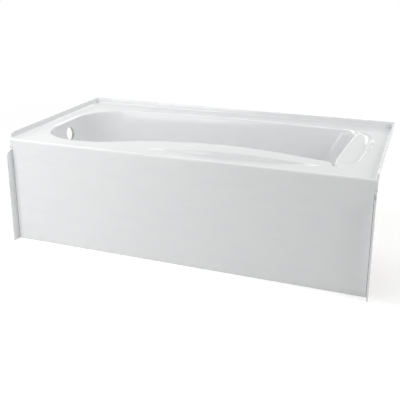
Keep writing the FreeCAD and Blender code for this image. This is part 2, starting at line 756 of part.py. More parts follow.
def make_base_board():
    """Rounded board with a bay for the drain ring and pilot holes for the bearer screws."""
    body = named("base_board", "PartDesign::Body")
    outline = sketch_on_base(body, "board_outline")
    draw_rectangle(
        outline, f"-{BOARD_LENGTH} / 2", f"-{BOARD_WIDTH} / 2", BOARD_LENGTH, BOARD_WIDTH
    )
    board = pad(body, "board_pad", outline, "Sizes.board_thickness")
    round_upright_edges(body, "board_corners", board, "Sizes.board_corner")
    bay = sketch_on_base(body, "drain_bay")
    bay_radius = "(Sizes.drain_hole / 2 + Sizes.ring_width + Sizes.board_drain_gap)"
    draw_circle(
        bay,
        bay_radius,
        f"{FLOOR_DRAIN} + Sizes.drain_from_end_wall - {BOARD_MIDDLE_X}",
        f"-{BOARD_MIDDLE_Y}",
    )
    pocket_up(body, "bay_cut", bay, "Sizes.board_thickness")
    pilots = sketch_on_base(body, "pilot_holes")
    for end in BEARER_X:
        for side in (-1, 1):
            draw_circle(
                pilots,
                "Sizes.screw_diameter / 2",
                f"{BEARER_X[end]} - {BOARD_MIDDLE_X}",
                f"{side} * Sizes.screw_spacing / 2",
            )
    pocket_up(body, "pilot_cut", pilots, "Sizes.board_thickness")
    place(body, BOARD_MIDDLE_X, BOARD_MIDDLE_Y, "Sizes.foot_clearance")
    return body


# ---------------------------------------------------------------- bearers and feet


def make_bearer(end):
    """Pressed channel, open side down, drilled for two studs and two screws."""
    body = named(f"{end}_bearer", "PartDesign::Body")
    outline = sketch_on_base(body, "bearer_outline")
    draw_rectangle(
        outline, "-Sizes.bearer_width / 2", f"-{BEARER_LENGTH} / 2", "Sizes.bearer_width", BEARER_LENGTH
    )
    block = pad(body, "bearer_pad", outline, "Sizes.bearer_height")
    doc.recompute()
    top_edges = [
        f"Edge{number}"
        for number, edge in enumerate(block.Shape.Edges, start=1)
        if edge.BoundBox.ZMin > size("bearer_height") - NEAR and edge.BoundBox.YLength > 100
    ]
    bend = body.newObject("PartDesign::Fillet", "outer_bends")
    bend.Base = (block, top_edges)
    bend.setExpression("Radius", "2 * Sizes.bearer_sheet")
    inside = sketch_on_base(body, "bearer_inside")
    draw_rectangle(
        inside,
        "-Sizes.bearer_width / 2 + Sizes.bearer_sheet",
        f"-{BEARER_LENGTH} / 2",
        "Sizes.bearer_width - 2 * Sizes.bearer_sheet",
        BEARER_LENGTH,
    )
    hollow = pocket_up(body, "channel", inside, "Sizes.bearer_height - Sizes.bearer_sheet")
    inner_z = size("bearer_height") - size("bearer_sheet")
    inner_edges = [
        f"Edge{number}"
        for number, edge in enumerate(hollow.Shape.Edges, start=1)
        if abs(edge.BoundBox.ZMin - inner_z) < NEAR
        and edge.BoundBox.ZLength < NEAR
        and edge.BoundBox.YLength > 100
    ]
    inner_bend = body.newObject("PartDesign::Fillet", "inner_bends")
    inner_bend.Base = (hollow, inner_edges)
    inner_bend.setExpression("Radius", "Sizes.bearer_sheet")
    doc.recompute()
    holes = sketch_on_base(body, "bearer_holes")
    for side in (-1, 1):
        stud_hole = "Sizes.stud_diameter / 2 + Sizes.stud_hole_gap"
        draw_circle(holes, stud_hole, None, f"{side} * {FOOT_SPREAD}")
        draw_circle(holes, "Sizes.screw_diameter / 2", None, f"{side} * Sizes.screw_spacing / 2")
    pocket_up(body, "bearer_drilling", holes, "Sizes.bearer_height")
    place(body, BEARER_X[end], BOARD_MIDDLE_Y, "Sizes.foot_clearance - Sizes.bearer_height")
    return body


def prism(name, sides, flats, height):
    """An upright prism, sized across its flats."""
    item = doc.addObject("Part::Prism", name)
    item.Polygon = sides
    bind(item, Circumradius=f"{flats} / 2 / cos(180 / {sides})", Height=height)
    return item


def hexagon(name, flats, height):
    return prism(name, 6, flats, height)


def make_foot_pad(end, side):
    """Moulded foot: a base with flats round it and a hub that holds the stud's tip in a socket."""
    tag = f"{end}_{side}"
    base = prism(f"pad_base_{tag}", PAD_FLATS, "Sizes.pad_diameter", "Sizes.pad_height")
    hub = doc.addObject("Part::Cylinder", f"pad_hub_{tag}")
    bind(hub, Radius="Sizes.pad_hub_diameter / 2", Height="Sizes.pad_hub_height")
    blank = doc.addObject("Part::Fuse", f"pad_blank_{tag}")
    blank.Base = base
    blank.Tool = hub
    socket = doc.addObject("Part::Cylinder", f"pad_socket_{tag}")
    bind(
        socket,
        Radius="Sizes.stud_diameter / 2 + Sizes.thread_gap",
        Height="Sizes.pad_hub_height",
        Placement__Base__z="Sizes.pad_floor",
    )
    item = named(f"foot_pad_{tag}", "Part::Cut")
    item.Base = blank
    item.Tool = socket
    place(item, BEARER_X[end], FOOT_Y[side], "0 mm")
    return item


def make_foot_stud(end, side):
    """Levelling stud with a spanner hexagon just above the pad."""
    item = named(f"foot_stud_{end}_{side}", "Part::MultiFuse")
    rod = doc.addObject("Part::Cylinder", f"rod_{end}_{side}")
    bind(rod, Radius="Sizes.stud_diameter / 2", Height="Sizes.stud_length")
    collar = hexagon(f"collar_{end}_{side}", "Sizes.collar_flats", "Sizes.collar_height")
    bind(
        collar,
        Placement__Base__z="Sizes.pad_hub_height + Sizes.collar_gap - Sizes.pad_floor",
    )
    item.Shapes = [rod, collar]
    place(item, BEARER_X[end], FOOT_Y[side], "Sizes.pad_floor")
    return item


def make_nuts(name, z):
    """One nut at each foot, all at one height."""
    nuts = []
    for end, side in FEET:
        blank = hexagon(f"{name}_blank_{end}_{side}", "Sizes.nut_flats", "Sizes.nut_height")
        bore = doc.addObject("Part::Cylinder", f"{name}_bore_{end}_{side}")
        bind(
            bore, Radius="Sizes.stud_diameter / 2 + Sizes.thread_gap", Height="Sizes.nut_height"
        )
        nut = doc.addObject("Part::Cut", f"{name}_{end}_{side}")
        nut.Base = blank
        nut.Tool = bore
        place(nut, BEARER_X[end], FOOT_Y[side], z)
        nuts.append(nut)
    group = named(name, "Part::Compound")
    group.Links = nuts
    return group


def make_bearer_screws():
    """Hexagon-head screws through the bearers into the board."""
    screws = []
    for end in BEARER_X:
        for side in (-1, 1):
            tag = f"{end}_{len(screws)}"
            shank = doc.addObject("Part::Cylinder", f"shank_{tag}")
            bind(shank, Radius="Sizes.screw_diameter / 2", Height="Sizes.screw_length")
            head = hexagon(f"head_{tag}", "Sizes.screw_flats", "Sizes.screw_head_height")
            bind(head, Placement__Base__z="-Sizes.screw_head_height")
            screw = doc.addObject("Part::Fuse", f"screw_{tag}")
            screw.Base = shank
            screw.Tool = head
            screw_y = f"{BOARD_MIDDLE_Y} + {side} * Sizes.screw_spacing / 2"
            place(screw, BEARER_X[end], screw_y, WEB_UNDERSIDE)
            screws.append(screw)
    group = named("bearer_screws", "Part::Compound")
    group.Links = screws
    return group


board = make_base_board()
bearers = [make_bearer(end) for end in BEARER_X]
foot_pads = [make_foot_pad(end, side) for end, side in FEET]
foot_studs = [make_foot_stud(end, side) for end, side in FEET]
lock_nuts = make_nuts("lock_nuts", f"{WEB_UNDERSIDE} - Sizes.nut_height")
bearing_nuts = make_nuts("bearing_nuts", "Sizes.foot_clearance")
bearer_screws = make_bearer_screws()

PARTS = [tub_shell, glass_fibre_backing, overflow_ring, drain_ring]
PARTS += timber + [board] + bearers + foot_pads + foot_studs
PARTS += [lock_nuts, bearing_nuts, bearer_screws]


# ---------------------------------------------------------------- checks and files

doc.recompute()
for item in doc.Objects:
    if "Invalid" in item.State or "Error" in item.State:
        raise ValueError(f"{item.Label} did not recompute: {item.State}")
for part in PARTS:
    if part.Shape.isNull() or not part.Shape.isValid():
        raise ValueError(f"{part.Label} has no valid shape")

os.makedirs("parts", exist_ok=True)
for part in PARTS:
    part.Shape.exportStep(f"parts/{part.Label}.step")
    print(f"{part.Label}: {len(part.Shape.Solids)} solid(s), {part.Shape.Volume / 1000:.1f} cm3")
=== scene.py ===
import math

import bmesh
import bpy
from mathutils import Matrix, Vector, noise


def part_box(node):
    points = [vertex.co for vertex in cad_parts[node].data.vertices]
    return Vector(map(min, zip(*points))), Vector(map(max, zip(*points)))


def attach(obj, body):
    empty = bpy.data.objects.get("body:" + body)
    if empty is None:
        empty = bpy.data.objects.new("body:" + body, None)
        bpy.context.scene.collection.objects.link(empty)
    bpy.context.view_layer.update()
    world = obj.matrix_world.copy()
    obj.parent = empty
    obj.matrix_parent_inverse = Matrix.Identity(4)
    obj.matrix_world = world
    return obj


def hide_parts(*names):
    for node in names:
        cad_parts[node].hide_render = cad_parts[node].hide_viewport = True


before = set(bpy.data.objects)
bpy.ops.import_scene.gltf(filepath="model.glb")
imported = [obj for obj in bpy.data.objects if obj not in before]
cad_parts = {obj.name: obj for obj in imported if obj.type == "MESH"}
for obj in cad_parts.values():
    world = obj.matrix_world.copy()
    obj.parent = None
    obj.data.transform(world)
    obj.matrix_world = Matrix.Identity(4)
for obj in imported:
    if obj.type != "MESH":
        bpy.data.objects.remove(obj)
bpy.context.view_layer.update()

# Sizes are in millimetres; the meshes are scaled to metres as they are made.
MM = 0.001
HALF_LENGTH = 762.0
BACK_Y = 397.0
APRON_Y = -365.0
DECK_Z = 457.0
FLOOR_Z = 82.5
WALL_DEPTH = DECK_Z - FLOOR_Z
WALL_FALL = 60.0
BACKREST_FALL = 193.0
SKIN = 4.5
GLASS = 3.0
OVERFLOW = (-687.75, 0.0, 393.0)
DRAIN = (-543.0, 0.0)


def mix(low, high, share):
    """The value that lies that share of the way from low to high."""
    return low + (high - low) * share


def ease(share):
    """Smooth step from 0 to 1."""
    share = min(max(share, 0.0), 1.0)
    return share * share * (3 - 2 * share)


def unit(degrees):
    """The flat direction at that angle from +X."""
    return Vector((math.cos(math.radians(degrees)), math.sin(math.radians(degrees))))


# ---------------------------------------------------------------- finishes


def node(tree, kind, inputs=None, **settings):
    """A shader node with its settings and its inputs, each a value or another node's output."""
    made = tree.nodes.new("ShaderNode" + kind)
    for name, value in settings.items():
        setattr(made, name, value)
    for name, value in (inputs or {}).items():
        socket = made.inputs[name]
        if isinstance(value, bpy.types.NodeSocket):
            tree.links.new(value, socket)
        else:
            socket.default_value = value
    return made


def effect(name, inputs, outputs):
    """A shader node group with named inputs and outputs: the tree, its input node, its output node."""
    tree = bpy.data.node_groups.new(name, "ShaderNodeTree")
    for title, kind, value in inputs:
        socket = tree.interface.new_socket(title, in_out="INPUT", socket_type="NodeSocket" + kind)
        socket.default_value = value
    for title, kind in outputs:
        tree.interface.new_socket(title, in_out="OUTPUT", socket_type="NodeSocket" + kind)
    return tree, tree.nodes.new("NodeGroupInput"), tree.nodes.new("NodeGroupOutput")


def use(tree, group, **values):
    """A shader node group placed in a material with its own values."""
    return node(tree, "Group", values, node_tree=group)


def feed(tree, target, outputs):
    """Links other nodes' outputs to a node's inputs by name."""
    for name, output in outputs.items():
        tree.links.new(output, target.inputs[name])


def blended(tree, share, low, high):
    """A colour between two, each a plain one or another node's output."""
    sockets = {0: share}
    for number, value in ((6, low), (7, high)):
        sockets[number] = value if isinstance(value, bpy.types.NodeSocket) else (*value, 1.0)
    return node(tree, "Mix", sockets, data_type="RGBA").outputs[2]


def between(tree, value, low, high):
    """A value from 0 to 1 turned into one from low to high."""
    return node(tree, "MapRange", {"Value": value, "To Min": low, "To Max": high}).outputs[0]


def band(tree, value, start, end):
    """0 below start, 1 above end, smooth between."""
    sockets = {"Value": value, "From Min": start, "From Max": end}
    return node(tree, "MapRange", sockets, interpolation_type="SMOOTHSTEP").outputs[0]


def sums(tree, kind, first, second):
    """What a sum of that kind makes of two values."""
    return node(tree, "Math", {0: first, 1: second}, operation=kind).outputs[0]


def stretched(tree, scale, rotation=(0.0, 0.0, 0.0)):
    """The piece's own coordinates, turned and scaled."""
    place = node(tree, "TexCoord").outputs["Object"]
    return node(tree, "Mapping", {"Vector": place, "Rotation": rotation, "Scale": scale}).outputs[0]


def clouds(tree, coordinates, scale, detail=2.0, rough=0.5):
    """Soft random values from 0 to 1."""
    sockets = {"Vector": coordinates, "Scale": scale, "Detail": detail, "Roughness": rough}
    return node(tree, "TexNoise", sockets).outputs["Fac"]


def make_polish():
    """Handling marks and the faint waviness of a polished or moulded face."""
    sizes = [("Wave Scale", 12.0), ("Grain Scale", 900.0), ("Smooth", 0.08), ("Dull", 0.16)]
    tree, source, result = effect(
        "polish",
        [(title, "Float", value) for title, value in sizes],
        [("Roughness", "Float"), ("Height", "Float"), ("Mask", "Float")],
    )
    place = node(tree, "TexCoord").outputs["Object"]
    wave = clouds(tree, place, source.outputs["Wave Scale"], 1.5)
    specks = clouds(tree, place, source.outputs["Grain Scale"])
    smears = clouds(tree, stretched(tree, (3.0, 3.0, 9.0), (0.4, 0.2, 0.7)), 3.0, 4.0, 0.6)
    mask = band(tree, smears, 0.42, 0.68)
    feed(tree, result, {
        "Roughness": between(tree, mask, source.outputs["Smooth"], source.outputs["Dull"]),
        "Height": sums(tree, "ADD", sums(tree, "MULTIPLY", wave, 0.85), sums(tree, "MULTIPLY", specks, 0.15)),
        "Mask": mask,
    })
    return tree


def make_strands():
    """Chopped strands lying every way."""
    tree, source, result = effect(
        "chopped_strands", [("Fineness", "Float", 60.0)], [("Strands", "Float"), ("Height", "Float")]
    )
    total = None
    for number in range(4):
        turn = (0.9 * number + 0.3, 1.7 * number, 0.8 * number)
        streak = clouds(tree, stretched(tree, (1.0, 9.0, 9.0), turn), source.outputs["Fineness"], 1.0)
        strand = band(tree, streak, 0.56, 0.66)
        total = strand if total is None else sums(tree, "MAXIMUM", total, strand)
    feed(tree, result, {"Strands": total, "Height": total})
    return tree


def make_grain():
    """Sawn softwood: year rings, pores, knots and the saw's marks."""
    tree, source, result = effect(
        "softwood_grain",
        [("Stretch", "Vector", (1.0, 8.0, 8.0)), ("Saw Lines", "Vector", (160.0, 0.0, 0.0))],
        [("Color", "Color"), ("Roughness", "Float"), ("Height", "Float")],
    )
    long = stretched(tree, source.outputs["Stretch"])
    sockets = {"Vector": long, "Scale": 1.6, "Detail": 3.0, "Distortion": 0.6}
    bend = node(tree, "TexNoise", sockets).outputs["Fac"]
    rings = sums(tree, "FRACT", sums(tree, "MULTIPLY", bend, 11.0), 0.0)
    late = band(tree, rings, 0.55, 0.95)
    pores = clouds(tree, long, 40.0, 4.0, 0.7)
    knots = node(tree, "TexVoronoi", {"Vector": long, "Scale": 1.1}).outputs["Distance"]
    knot = band(tree, sums(tree, "SUBTRACT", 1.0, knots), 0.86, 0.95)
    pale = blended(tree, late, (0.73, 0.56, 0.36), (0.5, 0.31, 0.15))
    fibre = blended(tree, between(tree, pores, 0.0, 0.45), pale, (0.42, 0.28, 0.15))
    saw = clouds(tree, stretched(tree, source.outputs["Saw Lines"]), 1.0, 1.0)
    feed(tree, result, {
        "Color": blended(tree, knot, fibre, (0.2, 0.1, 0.05)),
        "Roughness": between(tree, pores, 0.62, 0.85),
        "Height": sums(tree, "ADD", sums(tree, "MULTIPLY", saw, 0.5), sums(tree, "MULTIPLY", pores, 0.4)),
    })
    return tree


def make_cells():
    """Flat cells of random shade: pressed chips, or crystals in a zinc coat."""
    tree, source, result = effect(
        "cells",
        [("Size", "Float", 120.0), ("Stretch", "Vector", (1.0, 1.0, 1.0))],
        [("Shade", "Float"), ("Edge", "Float")],
    )
    place = stretched(tree, source.outputs["Stretch"])
    sockets = {"Vector": place, "Scale": source.outputs["Size"], "Detail": 2.0}
    warp = node(tree, "TexNoise", sockets).outputs["Color"]
    shift = node(tree, "VectorMath", {0: warp, "Scale": 0.006}, operation="SCALE").outputs[0]
    where = node(tree, "VectorMath", {0: place, 1: shift}, operation="ADD").outputs[0]
    cell = node(tree, "TexVoronoi", {"Vector": where, "Scale": source.outputs["Size"]})
    feed(tree, result, {
        "Shade": node(tree, "SeparateColor", {"Color": cell.outputs["Color"]}).outputs[0],
        "Edge": band(tree, cell.outputs["Distance"], 0.15, 0.8),
    })
    return tree


def finish(name, title, value):
    """A material with one shader, one of whose inputs is set: the material, its tree and the shader."""
    material = bpy.data.materials.new(name)
    material.use_nodes = True
    tree = material.node_tree
    shader = tree.nodes["Principled BSDF"]
    shader.inputs[title].default_value = value
    return material, tree, shader


def coat(tree, shader, colour, roughness, height, strength, distance):
    """Joins a colour, a roughness and a bump of that strength and depth in metres to a shader."""
    bump = node(tree, "Bump", {"Height": height, "Strength": strength, "Distance": distance})
    feed(tree, shader, {"Base Color": colour, "Roughness": roughness, "Normal": bump.outputs["Normal"]})


def marks_on(tree, waves, specks, smooth, dull):
    """The polish effect with its scales and its two roughnesses."""
    values = {"Wave Scale": waves, "Grain Scale": specks, "Smooth": smooth, "Dull": dull}
    return use(tree, polish, **values).outputs


polish = make_polish()
strands = make_strands()
grain = make_grain()
cells = make_cells()


def gloss_acrylic():
    """White acrylic sheet, drawn over a mould and left glossy."""
    material, tree, shader = finish("gloss_acrylic", "IOR", 1.49)
    marks = marks_on(tree, 14.0, 1500.0, 0.09, 0.13)
    white = blended(tree, marks["Mask"], (0.85, 0.856, 0.862), (0.835, 0.842, 0.85))
    coat(tree, shader, white, marks["Roughness"], marks["Height"], 0.045, 0.0008)
    return material


def rolled_glass_fibre():
    """Resin over chopped strands, rolled down by hand."""
    material, tree, shader = finish("rolled_glass_fibre", "IOR", 1.52)
    mat = use(tree, strands, Fineness=42.0).outputs
    marks = marks_on(tree, 9.0, 300.0, 0.3, 0.62)
    resin = blended(tree, marks["Mask"], (0.62, 0.62, 0.56), (0.54, 0.54, 0.47))
    colour = blended(tree, mat["Strands"], resin, (0.78, 0.78, 0.74))
    height = sums(tree, "ADD", sums(tree, "MULTIPLY", mat["Height"], 0.6), marks["Height"])
    coat(tree, shader, colour, marks["Roughness"], height, 0.6, 0.0012)
    return material


def sawn_pine(axis):
    """Softwood with its grain along one axis."""
    material, tree, shader = finish(f"sawn_pine_{'xyz'[axis]}", "IOR", 1.45)
    stretch = [22.0, 22.0, 22.0]
    stretch[axis] = 2.2
    saw = [12.0, 12.0, 12.0]
    saw[axis] = 420.0
    wood = use(tree, grain, **{"Stretch": stretch, "Saw Lines": saw}).outputs
    coat(tree, shader, wood["Color"], wood["Roughness"], wood["Height"], 0.5, 0.0006)
    return material


def pressed_chips():
    """Board of large and small wood chips."""
    material, tree, shader = finish("pressed_chips", "IOR", 1.45)
    large = use(tree, cells, Size=95.0, Stretch=(1.0, 1.6, 2.2)).outputs
    small = use(tree, cells, Size=310.0, Stretch=(1.5, 1.0, 2.0)).outputs
    coarse = blended(tree, large["Shade"], (0.42, 0.29, 0.16), (0.74, 0.58, 0.38))
    fine = blended(tree, small["Shade"], (0.36, 0.24, 0.13), (0.7, 0.54, 0.34))
    roughness = between(tree, small["Shade"], 0.6, 0.85)
    coat(tree, shader, blended(tree, 0.45, coarse, fine), roughness, small["Edge"], 0.35, 0.0004)
    return material


def galvanised_sheet():
    """Steel sheet with a spangled zinc coat."""
    material, tree, shader = finish("galvanised_sheet", "Metallic", 1.0)
    spangle = use(tree, cells, Size=130.0, Stretch=(1.0, 1.0, 1.0)).outputs
    marks = marks_on(tree, 30.0, 700.0, 0.28, 0.45)
    colour = blended(tree, spangle["Shade"], (0.5, 0.52, 0.54), (0.68, 0.7, 0.72))
    roughness = sums(tree, "ADD", marks["Roughness"], sums(tree, "MULTIPLY", spangle["Shade"], 0.1))
    coat(tree, shader, colour, roughness, spangle["Edge"], 0.15, 0.0002)
    return material


def zinc_plate():
    """The thin bright coat of studs, nuts and screws."""
    material, tree, shader = finish("zinc_plate", "Metallic", 1.0)
    marks = marks_on(tree, 60.0, 1800.0, 0.2, 0.4)
    colour = blended(tree, marks["Mask"], (0.7, 0.69, 0.64), (0.56, 0.56, 0.55))
    coat(tree, shader, colour, marks["Roughness"], marks["Height"], 0.2, 0.0002)
    return material


def moulded_black():
    """The feet's black plastic."""
    material, tree, shader = finish("moulded_black", "IOR", 1.5)
    marks = marks_on(tree, 50.0, 2600.0, 0.42, 0.6)
    colour = blended(tree, marks["Mask"], (0.022, 0.022, 0.024), (0.045, 0.045, 0.047))
    coat(tree, shader, colour, marks["Roughness"], marks["Height"], 0.3, 0.0003)
    return material


acrylic = gloss_acrylic()
glass_fibre = rolled_glass_fibre()
pine = [sawn_pine(axis) for axis in range(3)]
chips = pressed_chips()
galvanised = galvanised_sheet()
zinc = zinc_plate()
black = moulded_black()


# ---------------------------------------------------------------- basin outline

# Sides of the basin's mouth, clockwise from above: a point, a heading, the radius of the corner at
# the side's end, how many columns of the mesh the side and that corner take.
SIDES = [
    ((-698.0, 0.0), 90.0, 200.0, 10, 22),
    ((30.0, 307.0), 4.3, 4500.0, 8, 26),
    ((30.0, 307.0), -3.4, 68.0, 12, 22),
    ((597.0, 0.0), -93.1, 52.0, 30, 22),
    ((597.0, -201.0), 178.5, 260.0, 36, 10),
    ((-403.0, -280.0), 206.3, 260.0, 6, 10),
    ((-403.0, -280.0), 180.8, 190.0, 8, 22),
]
RIDGE = 3


def corner_at(number, wall_inset, ridge_inset):
    """Start, end, centre, first and last direction from the centre, for the corner after a side."""
    here, angle, radius, _, _ = SIDES[number]
    there, next_angle = SIDES[(number + 1) % len(SIDES)][:2]
    insets = [ridge_inset if side == RIDGE else wall_inset for side in (number, (number + 1) % len(SIDES))]
    along, onward = unit(angle), unit(next_angle)
    start = Vector(here) + unit(angle - 90) * insets[0]
    gap = Vector(there) + unit(next_angle - 90) * insets[1] - start
    cross = along.x * onward.y - along.y * onward.x
    point = start + along * ((gap.x * onward.y - gap.y * onward.x) / cross)
    side = -1 if cross > 0 else 1
    touches_ridge = RIDGE in (number, (number + 1) % len(SIDES))
    bend = radius if touches_ridge else radius - side * wall_inset
    turn = along.angle(onward)
    tangent = bend * math.tan(turn / 2)
    centre = point + (onward - along).normalized() * (bend / math.cos(turn / 2))
    return point - along * tangent, point + onward * tangent, centre, bend


def outline(wall_inset, ridge_inset):
    """The basin's outline with its straight sides moved in, as evenly shared columns."""
    corners = [corner_at(number, wall_inset, ridge_inset) for number in range(len(SIDES))]
    points = []
    for number, (_, _, _, side_columns, corner_columns) in enumerate(SIDES):
        side_start = corners[number - 1][1]
        side_end, corner_end, centre, bend = corners[number]
        for column in range(side_columns):
            points.append(side_start.lerp(side_end, column / side_columns))
        first, last = side_end - centre, corner_end - centre
        swing = math.atan2(first.x * last.y - first.y * last.x, first.dot(last))
        for column in range(corner_columns):
            turned = first.copy()
            turned.rotate(Matrix.Rotation(swing * column / corner_columns, 2))
            points.append(centre + turned)
    return points


def column_marks():
    """For each column: the share of backrest in it, the side or corner it is in and how far along."""
    marks = []
    for number, (_, _, _, side_columns, corner_columns) in enumerate(SIDES):
        for column in range(side_columns):
            marks.append((1.0 if number == RIDGE else 0.0, number, False, column / side_columns))
        for column in range(corner_columns):
            along = column / corner_columns
            share = {RIDGE - 1: ease(along), RIDGE: 1 - ease(along)}.get(number, 0.0)
            marks.append((share, number, True, along))
    return marks


MARKS = column_marks()
COLUMNS = len(MARKS)
MOUTH = outline(0.0, 0.0)


def normals_of(points):
    """Directions into the basin, square to the outline."""
    found = []
    for number, here in enumerate(points):
        along = points[(number + 1) % len(points)] - points[number - 1]
        found.append(Vector((along.y, -along.x)).normalized())
    return found


INWARDS = normals_of(MOUTH)


# ---------------------------------------------------------------- heights of the deck

ARM_MIDDLE_X = 173.5
ARM_HALF = 350.0
ARM_RISE = 18.0
ARM_EASE = 600.0
ARM_RADIUS = (ARM_HALF ** 2 + ARM_RISE ** 2) / (2 * ARM_RISE)
ARM_RUN = math.sqrt((ARM_RADIUS + ARM_EASE) ** 2 - (ARM_RADIUS + ARM_EASE - ARM_RISE) ** 2)
ARM_DRAFT = 8.0
ARM_SIDE_Y = -90.0  # the armrest lies nearer to the apron than this


def arm_rise(x):
    """Height of the armrest's arc above the deck."""
    away = abs(x - ARM_MIDDLE_X)
    if away <= ARM_RUN * ARM_RADIUS / (ARM_RADIUS + ARM_EASE):
        return ARM_RISE - ARM_RADIUS + math.sqrt(ARM_RADIUS ** 2 - away ** 2)
    if away <= ARM_RUN:
        return ARM_EASE - math.sqrt(ARM_EASE ** 2 - (ARM_RUN - away) ** 2)
    return 0.0


STEP_FOOT_Y = -306.0
STEP_FOOT_BOW = 10280.0


def step_foot_y(x):
    """Where the armrest's front step starts: a shallow bow."""
    return STEP_FOOT_Y + x * x / STEP_FOOT_BOW


def step_share(x, y):
    """How far up the armrest's front step a place is, with its foot and top rounded."""
    along = (y - step_foot_y(x)) / ARM_DRAFT
    return mix(min(max(along, 0.0), 1.0), ease(along), 0.6)


SCOOP_CREST = 3.0
SCOOP_LENGTH = 104.0
SCOOP_HALF = 262.0
SCOOP_SLOPE = 0.47
SCOOP_WALL_RUN = 1.25  # of the end wall, over its fall
SCOOP_SHAPE = 2.3
SCOOP_OUTSIDE = -60.0
SCOOP_HALVINGS = 24
VALLEY_ROUND = 9.0
CREST_ROUND = 12.0


RIDGE_X = 598.0
RIDGE_SKEW = 0.055
SCOOP_MIDDLE_Y = 3.0


def ridge_x(y):
    """The line of the ridge between the basin and the scoop."""
    return RIDGE_X + RIDGE_SKEW * y


def scoop_wall(x, y):
    """Depth of the scoop's end wall below the deck, negative outside the scoop's rim."""
    across, aside = max(x - ridge_x(y) - SCOOP_CREST, 0.0), abs(y - SCOOP_MIDDLE_Y)
    low, high = SCOOP_OUTSIDE, SCOOP_LENGTH / 2
    for _ in range(SCOOP_HALVINGS):
        middle = (low + high) / 2
        wide = SCOOP_LENGTH - SCOOP_CREST - SCOOP_WALL_RUN * middle
        long = SCOOP_HALF - SCOOP_WALL_RUN * middle
        if (across / wide) ** 2 + (aside / long) ** SCOOP_SHAPE < 1:
            low = middle
        else:
            high = middle
    return (low + high) / 2


CREST_LINE = []  # places (y, x) along the outer edge of the backrest's rim, from the front


def crest_x(y):
    """Where the scoop's floor starts to fall: the outer edge of the backrest's rim."""
    if y <= CREST_LINE[0][0]:
        return CREST_LINE[0][1]
    for (low_y, low_x), (high_y, high_x) in zip(CREST_LINE, CREST_LINE[1:]):
        if y <= high_y:
            return mix(low_x, high_x, (y - low_y) / max(high_y - low_y, 0.001))
    return CREST_LINE[-1][1]


def scoop_depth(x, y):
    """Depth of the head scoop below the deck: its floor and its end wall meet in a rounded valley."""
    run = x - crest_x(y)
    if run <= 0:
        return 0.0
    floor = SCOOP_SLOPE * (run * run / (2 * CREST_ROUND) if run < CREST_ROUND else run - CREST_ROUND / 2)
    wall = scoop_wall(x, y)
    round_here = VALLEY_ROUND * min(1.0, max(floor, 0.0) / VALLEY_ROUND)
    near = max(round_here - abs(floor - wall), 0.0) / max(round_here, 0.01)
    deep = min(floor, wall) - near * near * round_here / 4
    return max(deep, 0.0)


def deck_height(x, y):
    """Height of the deck with its armrest and its scoop."""
    raised = arm_rise(x) * step_share(x, y) if y < ARM_SIDE_Y else 0.0
    return DECK_Z + raised - scoop_depth(x, y)


# ---------------------------------------------------------------- basin rows

LEAN = math.atan(WALL_FALL / WALL_DEPTH)
SHOULDER_DROP = 27.0
SHOULDER_FALL = 20.0
SHOULDER_TILT = math.atan(SHOULDER_DROP / SHOULDER_FALL)
BACKREST_TILT = math.atan((WALL_DEPTH - SHOULDER_DROP) / (BACKREST_FALL - SHOULDER_FALL))
BACKREST_BEND = 5.0
RIM_STEPS = 8
MIDDLE_STEPS = 12
MIDDLE_CROWDING = 1.6
FLOOR_STEPS = 9
FLOOR_ROUND = 60.0
RIM_ROUND = 11.0
RIDGE_ROUND = 13.0


def rim_point(radius, tilt, share):
    """Inset and height on the rim's rounding, from the deck to a wall of that tilt."""
    reach = radius * math.tan(tilt / 2)
    angle = tilt * share
    return -reach + radius * math.sin(angle), -radius + radius * math.cos(angle)


def floor_point(tilt, fall, share):
    """Inset and height on the rounding from a wall of that tilt into the floor."""
    reach = FLOOR_ROUND * math.tan(tilt / 2)
    angle = tilt * (1 - share)
    return fall + reach - FLOOR_ROUND * math.sin(angle), -WALL_DEPTH + FLOOR_ROUND * (1 - math.cos(angle))


def backrest_inset(height):
    """The backrest's line: a steep shoulder over a long slope, with the bend between them rounded."""
    shoulder = -height / math.tan(SHOULDER_TILT)
    slope = SHOULDER_FALL + (-height - SHOULDER_DROP) / math.tan(BACKREST_TILT)
    near = max(BACKREST_BEND - abs(shoulder - slope), 0.0) / BACKREST_BEND
    return min(shoulder, slope) - near * near * BACKREST_BEND / 4


def basin_profiles():
    """Pairs of (inset, height) for a side wall and for the backrest, rim to floor."""
    pairs = []
    wall_tilt = math.pi / 2 - LEAN
    for step in range(RIM_STEPS + 1):
        share = step / RIM_STEPS
        pairs.append((rim_point(RIM_ROUND, wall_tilt, share), rim_point(RIDGE_ROUND, SHOULDER_TILT, share)))
    wall_top, ridge_top = pairs[-1]
    wall_low = floor_point(wall_tilt, WALL_FALL, 0.0)
    ridge_low = floor_point(BACKREST_TILT, BACKREST_FALL, 0.0)
    for step in range(1, MIDDLE_STEPS):
        share = (step / MIDDLE_STEPS) ** MIDDLE_CROWDING
        wall_z = mix(wall_top[1], wall_low[1], share)
        ridge_z = mix(ridge_top[1], ridge_low[1], share)
        pairs.append(((-wall_z * math.tan(LEAN), wall_z), (backrest_inset(ridge_z), ridge_z)))
    for step in range(FLOOR_STEPS + 1):
        share = step / FLOOR_STEPS
        wall_end = floor_point(wall_tilt, WALL_FALL, share)
        pairs.append((wall_end, floor_point(BACKREST_TILT, BACKREST_FALL, share)))
    return pairs


RIDGE_POINT = Vector((592.0, -250.0))
RIDGE_TURN = 0.45  # share of the corner's columns before that point
RIDGE_BOW = Vector((566.0, -201.5))
POINT_CROWDING = 3.5  # how fast the columns past it turn away from the deck's corner


